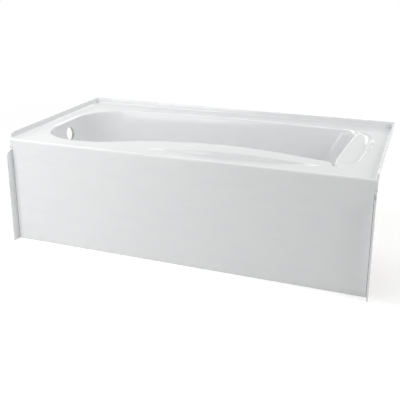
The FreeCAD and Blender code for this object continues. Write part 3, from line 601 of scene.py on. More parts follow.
def flare(number):
    """Where the mouth's front corner is drawn out to meet the end of the ridge."""
    _, side, is_corner, along = MARKS[number]
    if side != RIDGE or not is_corner:
        return Vector((0.0, 0.0))
    first = MOUTH[next(n for n, mark in enumerate(MARKS) if mark[1] == RIDGE and mark[2])]
    last = MOUTH[next(n for n, mark in enumerate(MARKS) if mark[1] == RIDGE + 1)]
    if along < RIDGE_TURN:
        target = first.lerp(RIDGE_POINT, along / RIDGE_TURN)
    else:
        share = (along - RIDGE_TURN) / (1 - RIDGE_TURN)
        target = RIDGE_POINT.lerp(RIDGE_BOW, share).lerp(RIDGE_BOW.lerp(last, share), share)
    return target - MOUTH[number]


FLARE_DEPTH = 55.0
ARM_FADE = 1.6  # how soon the armrest's rise dies out down the wall
ARM_WALL_Y = -150.0
BACK_CORNER_ROUND = 24.0


def rim_radius_gain(number):
    """How much softer than elsewhere the rim is at the back end of the ridge."""
    _, side, is_corner, along = MARKS[number]
    if side == RIDGE - 1 and is_corner:
        return ease(along * 2) if along < 0.5 else 1.0
    if side == RIDGE and not is_corner:
        return ease(1 - along * 4)
    return 0.0


def basin_rows():
    """Rows of points from the deck down to the floor, one point to a column."""
    rows = []
    pairs = basin_profiles()
    for step, ((wall_inset, wall_z), (ridge_inset, ridge_z)) in enumerate(pairs):
        ring = outline(wall_inset, ridge_inset)
        row = []
        for number, point in enumerate(ring):
            share = MARKS[number][0]
            height = mix(wall_z, ridge_z, share)
            place = point.copy()
            if step <= RIM_STEPS:
                softer = rim_radius_gain(number) * (BACK_CORNER_ROUND - RIM_ROUND) / RIM_ROUND
                inset = mix(wall_inset, ridge_inset, share)
                place += INWARDS[number] * (inset * softer)
                height += height * softer
            fade = 1.0 if step <= RIM_STEPS else max(0.0, 1 + height / WALL_DEPTH * ARM_FADE)
            raised = arm_rise(place.x) * (1.0 if MOUTH[number].y < ARM_WALL_Y else 0.0)
            height += raised * fade
            place -= INWARDS[number] * (raised * math.tan(LEAN) * fade * (1 - share))
            place += flare(number) * ease(1 + height / FLARE_DEPTH)
            row.append(Vector((place.x, place.y, DECK_Z + height)))
        rows.append(row)
    return rows


# ---------------------------------------------------------------- deck rows

COVE = 9.0
FLANGE_WALL = 5.0
FLANGE_HEIGHT = 25.0
FLANGE_FRONT_Y = -355.0
DECK_X = HALF_LENGTH - FLANGE_WALL - COVE
DECK_BACK_Y = BACK_Y - FLANGE_WALL - COVE
DECK_STEPS = 16
BORDER_DEPTH = DECK_BACK_Y - FLANGE_FRONT_Y
BORDER_LENGTH = 2 * DECK_X
BORDER_LAP = 2 * (BORDER_DEPTH + BORDER_LENGTH)
ARM_COLUMNS = (-215.0, 562.0)  # columns that start between these cross the armrest
ARM_COLUMNS_END = 600.0
SCOOP_COLUMNS_START, SCOOP_COLUMNS_END = 470.0, 640.0


def border_point(place):
    """The deck's border as a path: its place along it, clockwise from the front left corner."""
    place %= BORDER_LAP
    if place < BORDER_DEPTH:
        return Vector((-DECK_X, FLANGE_FRONT_Y + place))
    if place < BORDER_DEPTH + BORDER_LENGTH:
        return Vector((-DECK_X + place - BORDER_DEPTH, DECK_BACK_Y))
    if place < 2 * BORDER_DEPTH + BORDER_LENGTH:
        return Vector((DECK_X, DECK_BACK_Y - (place - BORDER_DEPTH - BORDER_LENGTH)))
    return Vector((DECK_X - (place - 2 * BORDER_DEPTH - BORDER_LENGTH), FLANGE_FRONT_Y))


def border_place(point, side):
    """The place along the border straight out from a point on one side of the mouth."""
    if side == 0:
        return point.y - FLANGE_FRONT_Y
    if side in (1, 2):
        return BORDER_DEPTH + point.x + DECK_X
    if side == RIDGE:
        return BORDER_DEPTH + BORDER_LENGTH + DECK_BACK_Y - point.y
    return 2 * BORDER_DEPTH + BORDER_LENGTH + DECK_X - point.x


def border_columns():
    """A border point for each column; the corners of the deck each get a column of their own."""
    places = [None] * COLUMNS
    around = {6: BORDER_LAP, RIDGE - 1: BORDER_DEPTH + BORDER_LENGTH}
    around |= {RIDGE: 2 * BORDER_DEPTH + BORDER_LENGTH, 0: BORDER_DEPTH}
    for number, (_, side, is_corner, _) in enumerate(MARKS):
        if not (is_corner and side in around):
            places[number] = border_place(MOUTH[number], side)
    for side, corner_place in around.items():
        members = [n for n, mark in enumerate(MARKS) if mark[1] == side and mark[2]]
        before = places[members[0] - 1]
        after = places[(members[-1] + 1) % COLUMNS]
        if after < before:
            after += BORDER_LAP
        span = (after - before) / (len(members) + 1)
        fixed = min(range(len(members)), key=lambda n: abs(before + span * (n + 1) - corner_place))
        if side == RIDGE:
            fixed = math.ceil(RIDGE_TURN * len(members))
        for order, member in enumerate(members):
            if order <= fixed:
                places[member] = mix(before, corner_place, (order + 1) / (fixed + 1))
                continue
            share = (order - fixed) / (len(members) - fixed)
            if side == RIDGE:
                share = 1 - (1 - share) ** POINT_CROWDING
            places[member] = mix(corner_place, after, share)
    return [place % BORDER_LAP for place in places]


BORDER_PLACES = border_columns()
CROSSING_HALVINGS = 22
VALLEY_SHARE = 0.65  # of the way from the crest to the scoop's rim
VALLEY_SOFT = 0.16
STEP_MARGIN = 1.5


def crossing(start, end, test):
    """Share of the way from start to end where a test turns from true to false."""
    low, high = 0.0, 1.0
    for _ in range(CROSSING_HALVINGS):
        middle = (low + high) / 2
        if test(start.lerp(end, middle)):
            low = middle
        else:
            high = middle
    return (low + high) / 2


def deck_knots(start, end):
    """Where the rows between rim and border lie on one column, closer together at the deck's steps."""
    long = (end - start).length
    over_arm = start.y < ARM_WALL_Y and ARM_COLUMNS[0] < start.x < ARM_COLUMNS[1] and end.x < ARM_COLUMNS_END
    if start.x > SCOOP_COLUMNS_START and not over_arm or end.x > SCOOP_COLUMNS_END:
        crest = crossing(start, end, lambda p: p.x < ridge_x(p.y) + SCOOP_CREST)
        rim = crossing(start, end, lambda p: p.x < ridge_x(p.y) + SCOOP_CREST or scoop_wall(p.x, p.y) > 0)
        crest = min(max(crest, 1.0 / long), 0.9)
        rim = min(max(rim, crest + 3.0 / long), 0.97)
        valley = mix(crest, rim, VALLEY_SHARE)
        soft = VALLEY_SOFT * (rim - crest)
        marks = [0.0, 2.5 / long, 6.0 / long, 11.0 / long, valley - soft, valley - soft / 2,
                 valley, valley + soft / 2, valley + soft, mix(valley, rim, 0.55), rim - 2.0 / long, rim,
                 rim + 0.6 / long, mix(rim, 1, 0.2), mix(rim, 1, 0.45), mix(rim, 1, 0.75), 1.0]
        for number in range(1, len(marks)):
            marks[number] = max(marks[number], marks[number - 1] + 0.2 / long) if number < DECK_STEPS else 1.0
        return marks
    if over_arm:
        top = crossing(start, end, lambda p: p.y > step_foot_y(p.x) + ARM_DRAFT + STEP_MARGIN)
        foot = crossing(start, end, lambda p: p.y > step_foot_y(p.x) - STEP_MARGIN)
        inner = [top * share for share in (0, 0.3, 0.6, 0.86)] + [top - 1.2 / long]
        face = [mix(top, foot, share) for share in (0, 0.12, 0.24, 0.4, 0.6, 0.76, 0.88, 1)]
        outer = [foot + 1.2 / long] + [mix(foot, 1, share) for share in (0.35, 0.7)]
        return inner + face + outer + [1.0]
    return [step / DECK_STEPS for step in range(DECK_STEPS + 1)]


def crest_line(rim_row):
    """The stretch of the rim along the backrest and round to both its ends, from the front."""
    line = []
    for number, (_, side, is_corner, along) in enumerate(MARKS):
        front_end = side == RIDGE and is_corner and along <= RIDGE_TURN
        back_end = side == RIDGE - 1 and is_corner and along >= 0.5
        if front_end or back_end or (side == RIDGE and not is_corner):
            line.append((rim_row[number].y, rim_row[number].x))
    return sorted(line)


def deck_rows(rim_row):
    """Rows from the outer edge of the rim to the deck's border."""
    CREST_LINE[:] = crest_line(rim_row)
    rows = [[] for _ in range(DECK_STEPS)]
    for number, rim in enumerate(rim_row):
        start, end = Vector(rim[:2]), border_point(BORDER_PLACES[number])
        for step, knot in enumerate(deck_knots(start, end)[1:]):
            flat = start.lerp(end, knot)
            rows[step].append(Vector((flat.x, flat.y, deck_height(flat.x, flat.y))))
    return rows


# ---------------------------------------------------------------- the moulding's surfaces


class Surface:
    """Points and faces of a mesh while it is being made, in millimetres."""

    def __init__(self):
        """Starts empty."""
        self.points = []
        self.faces = []

    def add(self, point):
        """Adds a point and gives its number."""
        self.points.append(Vector(point))
        return len(self.points) - 1

    def add_row(self, row):
        """Adds a row of points and gives their numbers."""
        return [self.add(point) for point in row]

    def strip(self, first, second, closed=False):
        """Faces between two rows of the same length; a face whose corners fall together is left smaller."""
        count = len(first)
        for here in range(count if closed else count - 1):
            there = (here + 1) % count
            corners = []
            for corner in (first[here], first[there], second[there], second[here]):
                if corner not in corners:
                    corners.append(corner)
            if len(corners) > 2:
                self.faces.append(corners)

    def fill_across(self, ring):
        """Triangles across a flat ring, which runs clockwise from above, from its left to its right end."""
        count = len(ring)
        places = [self.points[index].x for index in ring]
        left, right = places.index(min(places)), places.index(max(places))
        back = [ring[(left + step) % count] for step in range((right - left) % count + 1)]
        front = [ring[(left - step) % count] for step in range((left - right) % count + 1)]
        far, near = 0, 0
        while far < len(back) - 1 or near < len(front) - 1:
            step_back = near == len(front) - 1
            if not step_back and far < len(back) - 1:
                step_back = self.points[back[far + 1]].x <= self.points[front[near + 1]].x
            corners = [back[far], front[near]]
            if step_back:
                far += 1
                corners.append(back[far])
            else:
                near += 1
                corners.append(front[near])
            if len(set(corners)) == 3:
                self.faces.append(corners)

    def normals(self):
        """Mean normal at each point."""
        sums = [Vector() for _ in self.points]
        for face in self.faces:
            across = Vector()
            for number in range(1, len(face) - 1):
                a, b, c = (self.points[face[k]] for k in (0, number, number + 1))
                across += (b - a).cross(c - a)
            for corner in face:
                sums[corner] += across.normalized()
        return [total.normalized() if total.length > 0 else Vector((0, 0, 1)) for total in sums]


STEADY = 0.85  # the deck's back is offset at least this much downwards


def steadied(normal):
    """A direction turned towards straight up, so that the back of a tight bend doesn't fold over."""
    if normal.z >= STEADY:
        return normal
    level = Vector((normal.x, normal.y, 0.0)).normalized() * math.sqrt(1 - STEADY ** 2)
    return Vector((level.x, level.y, STEADY))


EDGE_ROUND = 9.0
EDGE_STEPS = 8
APRON_LEVELS = [448, 440, 430, 415, 399, 380, 340, 290, 230, 170, 110, 60, 25, 8, 0]
APRON_ENDS = (750.5, 753.0, 755.0, 757.0, 762.0)
FLOOR_SHARES = (0.3, 0.62)  # how far the floor's two inner rows lie towards its middle line
FLOOR_LINE_X = (-440.0, 290.0)
FLOOR_LINE_Y = 46.0


def face_sheet(level_end=0.0, end_x=APRON_ENDS):
    """The basin, the deck and the apron's face as one sheet, with the rows that its borders need."""
    sheet = Surface()
    basin = basin_rows()
    rows = [sheet.add_row(row) for row in reversed(basin)]
    rows += [sheet.add_row(row) for row in deck_rows(basin[0])]
    for inner, outer in zip(rows, rows[1:]):
        sheet.strip(inner, outer, closed=True)
    ring = rows[0]
    for share in FLOOR_SHARES:
        shrunk = []
        for point in basin[-1]:
            middle_x = min(max(point.x, FLOOR_LINE_X[0]), FLOOR_LINE_X[1])
            shrunk.append(point.lerp(Vector((middle_x, FLOOR_LINE_Y, point.z)), share))
        shrunk_row = sheet.add_row(shrunk)
        sheet.strip(shrunk_row, ring, closed=True)
        ring = shrunk_row
    sheet.fill_across(ring)
    border = rows[-1]
    front = [index for index in border if abs(sheet.points[index].y - FLANGE_FRONT_Y) < 0.01]
    front.sort(key=lambda index: sheet.points[index].x)
    left_ends = [sheet.add((-x, FLANGE_FRONT_Y, DECK_Z)) for x in reversed(end_x)]
    right_ends = [sheet.add((x, FLANGE_FRONT_Y, DECK_Z)) for x in end_x]
    top_row = left_ends + front + right_ends
    last = top_row
    profile = [(APRON_Y + EDGE_ROUND, DECK_Z)]
    for step in range(1, EDGE_STEPS + 1):
        angle = math.pi / 2 * step / EDGE_STEPS
        low = EDGE_ROUND * (1 - math.cos(angle))
        profile.append((APRON_Y + EDGE_ROUND * (1 - math.sin(angle)), DECK_Z - low))
    profile += [(APRON_Y, max(level, level_end)) for level in APRON_LEVELS[1:] if level > level_end]
    profile.append((APRON_Y, level_end))
    columns = []
    for y, z in profile:
        row = sheet.add_row([(sheet.points[index].x, y, z) for index in top_row])
        sheet.strip(row, last)
        columns.append(row)
        last = row
    normals = sheet.normals()
    for row in rows[len(basin):]:
        for index in row:
            normals[index] = steadied(normals[index])
    for index in border + top_row:
        normals[index] = Vector((0, 0, 1))
    return sheet, normals, border, top_row, columns


def mesh_object(name, surface, material, sharp=35.0):
    """A Blender object from a surface in millimetres."""
    mesh = bpy.data.meshes.new(name)
    mesh.from_pydata([point * MM for point in surface.points], [], surface.faces)
    made = bmesh.new()
    made.from_mesh(mesh)
    bmesh.ops.remove_doubles(made, verts=made.verts, dist=0.00001)
    bmesh.ops.recalc_face_normals(made, faces=made.faces)
    made.to_mesh(mesh)
    made.free()
    mesh.validate()
    item = bpy.data.objects.new(name, mesh)
    bpy.context.scene.collection.objects.link(item)
    mesh.materials.append(material)
    shade(item, sharp)
    return item


def shade(item, sharp=35.0):
    """Smooth faces, with edges sharper than that angle kept."""
    for face in item.data.polygons:
        face.use_smooth = True
    item.data.set_sharp_from_angle(angle=math.radians(sharp))


CORNER_STEPS = 6


def corner_turns(first):
    """Directions round a corner of the deck, clockwise from the first one."""
    return [first - 90 * step / CORNER_STEPS for step in range(CORNER_STEPS + 1)]


def flange_rows(border):
    """The upstand that grows out of the deck's border on three sides, in rows along it."""
    ordered = sorted(range(COLUMNS), key=lambda n: BORDER_PLACES[n])
    stations = []
    for number in ordered:
        place = BORDER_PLACES[number]
        if place > 2 * BORDER_DEPTH + BORDER_LENGTH + 0.01:
            continue
        if abs(place - BORDER_DEPTH) < 0.01:
            turns = corner_turns(180)
        elif abs(place - BORDER_DEPTH - BORDER_LENGTH) < 0.01:
            turns = corner_turns(90)
        elif place < BORDER_DEPTH:
            turns = [180.0]
        elif place < BORDER_DEPTH + BORDER_LENGTH:
            turns = [90.0]
        else:
            turns = [0.0]
        for turn in turns:
            stations.append((border[number], turn))
    return stations


FLANGE_CORNER = 6.0
UPSTAND_EDGE = 0.9
COVE_STEPS = 6


def flange_top(y):
    """Height of the tile flange: its front ends have a rounded top corner."""
    full = DECK_Z + FLANGE_HEIGHT
    inside = y - FLANGE_FRONT_Y
    if inside >= FLANGE_CORNER:
        return full
    return full - FLANGE_CORNER + math.sqrt(max(FLANGE_CORNER ** 2 - (FLANGE_CORNER - inside) ** 2, 0.0))


def close_apron(sheet, top_row, columns, back):
    """Joins the apron's face to its back at both ends and along the bottom."""
    for side in (0, -1):
        column = [top_row[side]] + [row[side] for row in columns]
        sheet.strip(column, [back[index] for index in column])
    sheet.strip(columns[-1], [back[index] for index in columns[-1]])


def moulded_tub(material):
    """The acrylic moulding: face, upstand, back of the skin and the edges that join them."""
    sheet, normals, border, top_row, columns = face_sheet()
    base_count = len(sheet.points)
    base_faces = [list(face) for face in sheet.faces]
    back = [sheet.add(sheet.points[index] - normals[index] * SKIN) for index in range(base_count)]
    for row in columns[EDGE_STEPS:]:
        for index in row:
            place = sheet.points[index]
            sheet.points[back[index]] = Vector((place.x, APRON_Y + SKIN, place.z))
    for face in base_faces:
        sheet.faces.append([back[index] for index in reversed(face)])
    stations = flange_rows(border)
    rows = []
    for index, turn in stations:
        base = sheet.points[index]
        way = unit(turn)
        square = 1 / max(abs(way.x), abs(way.y))
        top = flange_top(base.y)
        row = [index]
        for step in range(1, COVE_STEPS + 1):
            angle = math.pi / 2 * step / COVE_STEPS
            out = COVE * math.sin(angle)
            height = DECK_Z + COVE * (1 - math.cos(angle))
            row.append(sheet.add((base.x + way.x * out, base.y + way.y * out, height)))
        edge = UPSTAND_EDGE
        rim = [(COVE, top - edge, 1.0), (COVE + 0.3 * edge, top - 0.3 * edge, 1.0), (COVE + edge, top, 1.0)]
        outer = COVE + FLANGE_WALL
        rim += [(outer - edge, top, square), (outer - 0.3 * edge, top - 0.3 * edge, square)]
        rim += [(outer, top - edge, square), (outer, DECK_Z - SKIN, square)]
        for out, height, stretch in rim:
            row.append(sheet.add((base.x + way.x * out * stretch, base.y + way.y * out * stretch, height)))
        row.append(back[index])
        rows.append(row)
    for first, second in zip(rows, rows[1:]):
        sheet.strip(first, second)
    for row, end_x in ((rows[0], -1), (rows[-1], 1)):
        ends = top_row[:len(APRON_ENDS)] if end_x < 0 else top_row[-len(APRON_ENDS):][::-1]
        cap = row[:-2] + ends
        sheet.faces.append(cap)
        outer_top = row[-3]
        sheet.faces.append([row[-2], outer_top, ends[0], back[ends[0]]])
        sheet.faces.append([back[index] for index in ends] + [row[-1], row[-2]])
    close_apron(sheet, top_row, columns, back)
    return mesh_object("moulded_tub", sheet, material)


# ---------------------------------------------------------------- the glass fibre layer

BACKING_ENDS = (750.0, 751.0, 752.0)
BACKING_TRIM = 10.0
BACKING_GAP = 0.02
LUMP_SCALE = 0.045
LUMP_HEIGHT = 0.7


def glass_layer(material):
    """The layer on the back of the skin: smooth against it, lumpy where the strands were rolled down."""
    sheet, normals, border, top_row, columns = face_sheet(BACKING_TRIM, BACKING_ENDS)
    count = len(sheet.points)
    faces = [list(face) for face in sheet.faces]
    face_points = [Vector(point) for point in sheet.points]
    upright = {index for row in columns[EDGE_STEPS:] for index in row}

    def shifted(index, depth):
        """A point of the face moved back by that depth."""
        point = face_points[index]
        if index in upright:
            return Vector((point.x, APRON_Y + depth, point.z))
        return point - normals[index] * depth

    def lumpy(index):
        """A point of the layer's back, left flat under the floor and behind the apron."""
        point = shifted(index, SKIN + GLASS)
        if point.z < FLOOR_Z - SKIN - GLASS + 0.5 or index in upright:
            return point
        lump = 0.5 + 0.5 * noise.noise(face_points[index] * LUMP_SCALE)
        return point + normals[index] * (LUMP_HEIGHT * lump)

    for index in range(count):
        sheet.points[index] = shifted(index, SKIN + BACKING_GAP)
    back = [sheet.add(lumpy(index)) for index in range(count)]
    sheet.faces = faces + [[back[index] for index in reversed(face)] for face in faces]
    rows = []
    reach = BACKING_ENDS[-1] - DECK_X
    for index, turn in flange_rows(border):
        way = unit(turn)
        out = reach / max(abs(way.x), abs(way.y))
        row = [index]
        for source in (index, back[index]):
            base = sheet.points[source]
            row.append(sheet.add((base.x + way.x * out, base.y + way.y * out, base.z)))
        row.append(back[index])
        rows.append(row)
    for first, second in zip(rows, rows[1:]):
        sheet.strip(first, second)
    for row, low_end in ((rows[0], True), (rows[-1], False)):
        ends = top_row[:len(BACKING_ENDS)] if low_end else top_row[-len(BACKING_ENDS):][::-1]
        sheet.faces.append([row[0], row[1]] + ends)
        sheet.faces.append([row[1], row[2], back[ends[0]], ends[0]])
        sheet.faces.append([back[index] for index in ends] + [row[2], row[3]])
    close_apron(sheet, top_row, columns, back)
    return mesh_object("glass_layer", sheet, material)


# ---------------------------------------------------------------- cutting and joining


def carve(item, tool, operation):
    """Cuts a tool out of a piece, or joins it on, and removes the tool."""
    modifier = item.modifiers.new("carve", "BOOLEAN")
    modifier.operation = operation
    modifier.solver = "EXACT"
    modifier.object = tool
    bpy.context.view_layer.update()
    result = bpy.data.meshes.new_from_object(item.evaluated_get(bpy.context.evaluated_depsgraph_get()))
    item.modifiers.clear()
    item.data = result
    bpy.data.objects.remove(tool)


def lathe(name, profile, count, centre, axis=(0, 0, 1)):
    """A closed turned form: pairs of (radius, height) from one end to the other, capped at both."""
    turned = Surface()
    rows = []
    for radius, height in profile:
        ring = []
        for step in range(count):
            angle = 2 * math.pi * step / count
            ring.append((radius * math.cos(angle), radius * math.sin(angle), height))
        rows.append(turned.add_row(ring))
    for first, second in zip(rows, rows[1:]):
        turned.strip(first, second, closed=True)
    turned.faces.append(list(reversed(rows[0])))
    turned.faces.append(rows[-1])
    turn = Vector((0, 0, 1)).rotation_difference(Vector(axis))
    turned.points = [turn @ point + Vector(centre) for point in turned.points]
    return mesh_object(name, turned, acrylic)


OUTWARDS = (-math.cos(LEAN), 0.0, -math.sin(LEAN))
OVERFLOW_RADIUS = 32.0
DRAIN_RADIUS = 25.0
DISH_RADIUS = 46.0
DISH_DEPTH = 3.0
DISH_RUN = 9.0
HOLE_EDGE = 1.2
OVERFLOW_FACETS = 64
DRAIN_FACETS = 72


def overflow_cutter():
    """Round, with its edge eased where it leaves the inner face of the wall."""
    edge = OVERFLOW_RADIUS + HOLE_EDGE
    profile = [(edge + 8, -9.0), (edge + 0.6, -0.6), (OVERFLOW_RADIUS + 0.35, HOLE_EDGE * 0.7)]
    profile += [(OVERFLOW_RADIUS, HOLE_EDGE * 1.6), (OVERFLOW_RADIUS, 25.0)]
    return lathe("overflow_cutter", profile, OVERFLOW_FACETS, OVERFLOW, OUTWARDS)


def drain_cutter():
    """The drain hole and the dish that it sits in."""
    profile = [(DRAIN_RADIUS, -30.0), (DRAIN_RADIUS, -DISH_DEPTH - HOLE_EDGE)]
    profile += [(DRAIN_RADIUS + 0.35, -DISH_DEPTH - HOLE_EDGE * 0.35)]
    profile += [(DRAIN_RADIUS + HOLE_EDGE, -DISH_DEPTH), (DISH_RADIUS - DISH_RUN, -DISH_DEPTH)]
    profile += [(DISH_RADIUS - DISH_RUN + 1.6, -DISH_DEPTH + 0.3)]
    profile += [(DISH_RADIUS - 1.6, -0.3), (DISH_RADIUS, 0.0), (DISH_RADIUS + 1.0, 1.0)]
    return lathe("drain_cutter", profile, DRAIN_FACETS, (*DRAIN, FLOOR_Z))


def drain_boss(top, bottom, radius):
    """The form of the dish from below, between two heights from the floor."""
    profile = [(radius - DISH_RUN, bottom), (radius, bottom + DISH_DEPTH), (radius, top)]
    return lathe("drain_boss", profile, DRAIN_FACETS, (*DRAIN, FLOOR_Z))


NAIL_REACH = 32.0
NAIL_TOP = 415.0
NAIL_SLANT = 16.0
NAIL_CORNER = 8.0
NAIL_BEND = 4.0
NAIL_WALL = 5.0
NAIL_LEVELS = (-372.0, -378.0, -384.0, -388.0, -390.0, -392.0, -393.5, -395.0, -396.2)


def nail_top(y):
    """Height of a nailing flange's slanting top, with its front corner rounded."""
    inside = y - (APRON_Y - NAIL_REACH)
    slant = NAIL_TOP - NAIL_SLANT * (1 - min(max(inside / NAIL_REACH, 0.0), 1.0))
    if inside >= NAIL_CORNER:
        return slant
    return slant - NAIL_CORNER + math.sqrt(max(NAIL_CORNER ** 2 - (NAIL_CORNER - inside) ** 2, 0.0))


def nailing_flange(side):
    """The plate at one end of the apron: it stands forward, with a bend where it leaves the apron."""
    inner, outer = HALF_LENGTH - NAIL_WALL, HALF_LENGTH
    root = APRON_Y + SKIN / 2
    section = [(outer, root), (inner - NAIL_BEND, root), (inner - NAIL_BEND, APRON_Y)]
    for step in range(1, 7):
        angle = math.pi / 2 * step / 6
        forward = NAIL_BEND * (1 - math.cos(angle))
        section.append((inner - NAIL_BEND + NAIL_BEND * math.sin(angle), APRON_Y - forward))
    tip = APRON_Y - NAIL_REACH
    section += [(inner, y) for y in NAIL_LEVELS]
    section += [(inner + 0.3, tip + 0.3), (inner + 1.0, tip), (outer - 1.0, tip), (outer - 0.3, tip + 0.3)]
    section += [(outer, y) for y in reversed(NAIL_LEVELS)]
    section.append((outer, APRON_Y))
    plate = Surface()
    rows = []
    for share in (0.0, 1.0):
        row = []
        for x, y in section:
            row.append((side * x, y, nail_top(y) * share))
        rows.append(plate.add_row(row))
    plate.strip(rows[0], rows[1], closed=True)
    plate.faces.append(list(reversed(rows[0])))
    plate.faces.append(list(rows[1]))
    return mesh_object(f"nailing_flange_{side}", plate, acrylic)


def finished_tub():
    """The moulding with its nailing flanges, its drain and its overflow."""
    tub = moulded_tub(acrylic)
    carve(tub, nailing_flange(1), "UNION")
    carve(tub, nailing_flange(-1), "UNION")
    carve(tub, drain_boss(-SKIN + 0.5, -SKIN - DISH_DEPTH, DISH_RADIUS + SKIN), "UNION")
    carve(tub, drain_cutter(), "DIFFERENCE")
    carve(tub, overflow_cutter(), "DIFFERENCE")
    shade(tub)
    return tub


def finished_backing():
    """The glass fibre layer, shaped round the drain's dish and drilled for both holes."""
    layer = glass_layer(glass_fibre)
    dish_back = SKIN + BACKING_GAP
    carve(layer, drain_boss(-SKIN - 0.5, -SKIN - GLASS - DISH_DEPTH, DISH_RADIUS + SKIN + GLASS), "UNION")
    carve(layer, drain_boss(5.0, -SKIN - DISH_DEPTH - BACKING_GAP, DISH_RADIUS + dish_back), "DIFFERENCE")
    drain_drill = [(DRAIN_RADIUS, -30.0), (DRAIN_RADIUS, 10.0)]
    carve(layer, lathe("drill", drain_drill, DRAIN_FACETS, (*DRAIN, FLOOR_Z)), "DIFFERENCE")
    overflow_drill = [(OVERFLOW_RADIUS, -9.0), (OVERFLOW_RADIUS, 25.0)]
    carve(layer, lathe("drill", overflow_drill, OVERFLOW_FACETS, OVERFLOW, OUTWARDS), "DIFFERENCE")
    shade(layer, 50.0)
    return layer


# ---------------------------------------------------------------- feet, nuts and screws


def flats_radius(radius, flats, angle, share):
    """Radius at an angle of an outline that is round at share 0 and flat-sided at share 1."""
    wedge = 2 * math.pi / flats
    off = (angle + wedge / 2) % wedge - wedge / 2
    return radius * mix(1.0, 1 / math.cos(off), share)


class Fitting(Surface):
    """A surface made of rings round upright axes."""

    def ring(self, radius, height, flats=6, share=0.0, count=36, droop=0.0, round_radius=0.0):
        """A ring, round or flat-sided, whose corners droop beyond the round radius."""
        row = []
        for step in range(count):
            angle = 2 * math.pi * step / count
            reach = flats_radius(radius, flats, angle, share)
            low = droop * max(reach - round_radius, 0.0)
            row.append((reach * math.cos(angle), reach * math.sin(angle), height - low))
        return self.add_row(row)

    def stack(self, rows, caps=True):
        """Faces between rings, and over both ends."""
        for first, second in zip(rows, rows[1:]):
            self.strip(first, second, closed=True)
        if caps:
            self.faces.append(list(reversed(rows[0])))
            self.faces.append(list(rows[-1]))

    def hexagon(self, across, low, high, bore=0.0):
        """A hexagon with its corners chamfered at both ends, and a bore if it has a radius."""
        half = across / 2
        face = half * 0.95
        slope = math.tan(math.radians(30))
        rows = [self.ring(face, low)]
        rows.append(self.ring(half, low, share=1.0, droop=-slope, round_radius=face))
        rows.append(self.ring(half, high, share=1.0, droop=slope, round_radius=face))
        rows.append(self.ring(face, high))
        if bore:
            lip = 0.7
            rows.append(self.ring(bore + lip, high))
            rows.append(self.ring(bore, high - lip))
            rows.append(self.ring(bore, low + lip))
            rows.append(self.ring(bore + lip, low))
            rows.append(rows[0])
            self.stack(rows, caps=False)
        else:
            self.stack(rows)

    def thread(self, radius, depth, pitch, low, high, count=18):
        """A screw thread with flat crests between two heights."""
        turns = int((high - low) / pitch) + 2
        heights = ((0.0, radius - depth), (0.38, radius), (0.56, radius), (0.94, radius - depth))
        loops = []
        for lift, reach in heights:
            loop = []
            for step in range(turns * count + 1):
                angle = 2 * math.pi * step / count
                height = low + pitch * (step / count - 1 + lift)
                here = min(max(height, low), high)
                narrow = 0.7 * max(0.0, 1 - (high - here) / 1.2)
                out = reach - narrow
                loop.append(self.add((out * math.cos(angle), out * math.sin(angle), here)))
            loops.append(loop)
        for first, second in zip(loops, loops[1:]):
            self.strip(first, second)
        self.strip(loops[-1][:-count], loops[0][count:])
        self.faces.append(list(reversed(loops[0][:count])))
        self.faces.append(loops[-1][-count:])

    def move(self, x, y, z, start=0):
        """Moves the points from one number on."""
        for number in range(start, len(self.points)):
            self.points[number] = self.points[number] + Vector((x, y, z))


STUD_RADIUS = 5.95
THREAD_DEPTH = 1.0
PITCH = 1.75
COLLAR = (17.0, 19.0, 25.0)
STUD_LOW, STUD_HIGH = 6.0, 94.0


def foot_stud(name, x, y, material):
    """A threaded stud with a hexagon collar to turn it by."""
    stud = Fitting()
    stud.thread(STUD_RADIUS, THREAD_DEPTH, PITCH, STUD_LOW, COLLAR[1])
    stud.hexagon(*COLLAR)
    stud.thread(STUD_RADIUS, THREAD_DEPTH, PITCH, COLLAR[2], STUD_HIGH)
    stud.move(x, y, 0)
    return mesh_object(name, stud, material, 40)


# Radius, height and share of flat side, up the outside of a foot and down into its socket.
PAD_PROFILE = [
    (23.0, 0.0, 1.0), (24.3, 0.4, 1.0), (24.9, 1.4, 1.0), (24.9, 7.6, 1.0), (24.5, 9.0, 1.0),
    (23.2, 9.8, 1.0), (21.5, 10.0, 0.9), (16.0, 10.4, 0.2), (13.6, 11.2, 0.0), (12.4, 12.8, 0.0),
    (11.9, 15.0, 0.0), (11.8, 16.8, 0.0), (11.3, 17.7, 0.0), (10.4, 18.0, 0.0), (7.2, 18.0, 0.0),
    (6.4, 17.2, 0.0), (6.35, 6.0, 0.0),
]
PAD_FLATS = 12
RIBS = 6
RIB_HALF = 1.1
RIB_OUTLINE = ((11.0, 9.5), (22.4, 9.5), (22.0, 11.0), (12.6, 16.4), (11.0, 16.6))


def foot_pad(name, x, y, material):
    """A moulded foot with flats round its base, a hub with a socket and ribs between the two."""
    base = Fitting()
    rows = [base.ring(r, z, PAD_FLATS, share, 72) for r, z, share in PAD_PROFILE]
    base.stack(rows)
    for number in range(RIBS):
        angle = 2 * math.pi * (number + 0.5) / RIBS
        out = Vector((math.cos(angle), math.sin(angle), 0))
        side = Vector((-math.sin(angle), math.cos(angle), 0))
        rib = []
        for half in (-RIB_HALF, RIB_HALF):
            rib.append(base.add_row([out * r + side * half + Vector((0, 0, z)) for r, z in RIB_OUTLINE]))
        base.strip(rib[0], rib[1], closed=True)
        base.faces.append(list(reversed(rib[0])))
        base.faces.append(list(rib[1]))
    base.move(x, y, 0)
    return mesh_object(name, base, material, 40)


NUT_ACROSS = 19.0
NUT_BORE = 6.25
LOCK_NUT = (47.5, 57.5)  # its lower and upper height
BEARING_NUT = (60.0, 70.0)
SCREW_HALF = 4.0
SCREW_HEAD = (54.0, 56.6)
SCREW_WASHER = [(5.6, 56.7), (5.8, 57.1), (5.6, 57.5), (2.5, 57.5), (2.5, 72.5)]


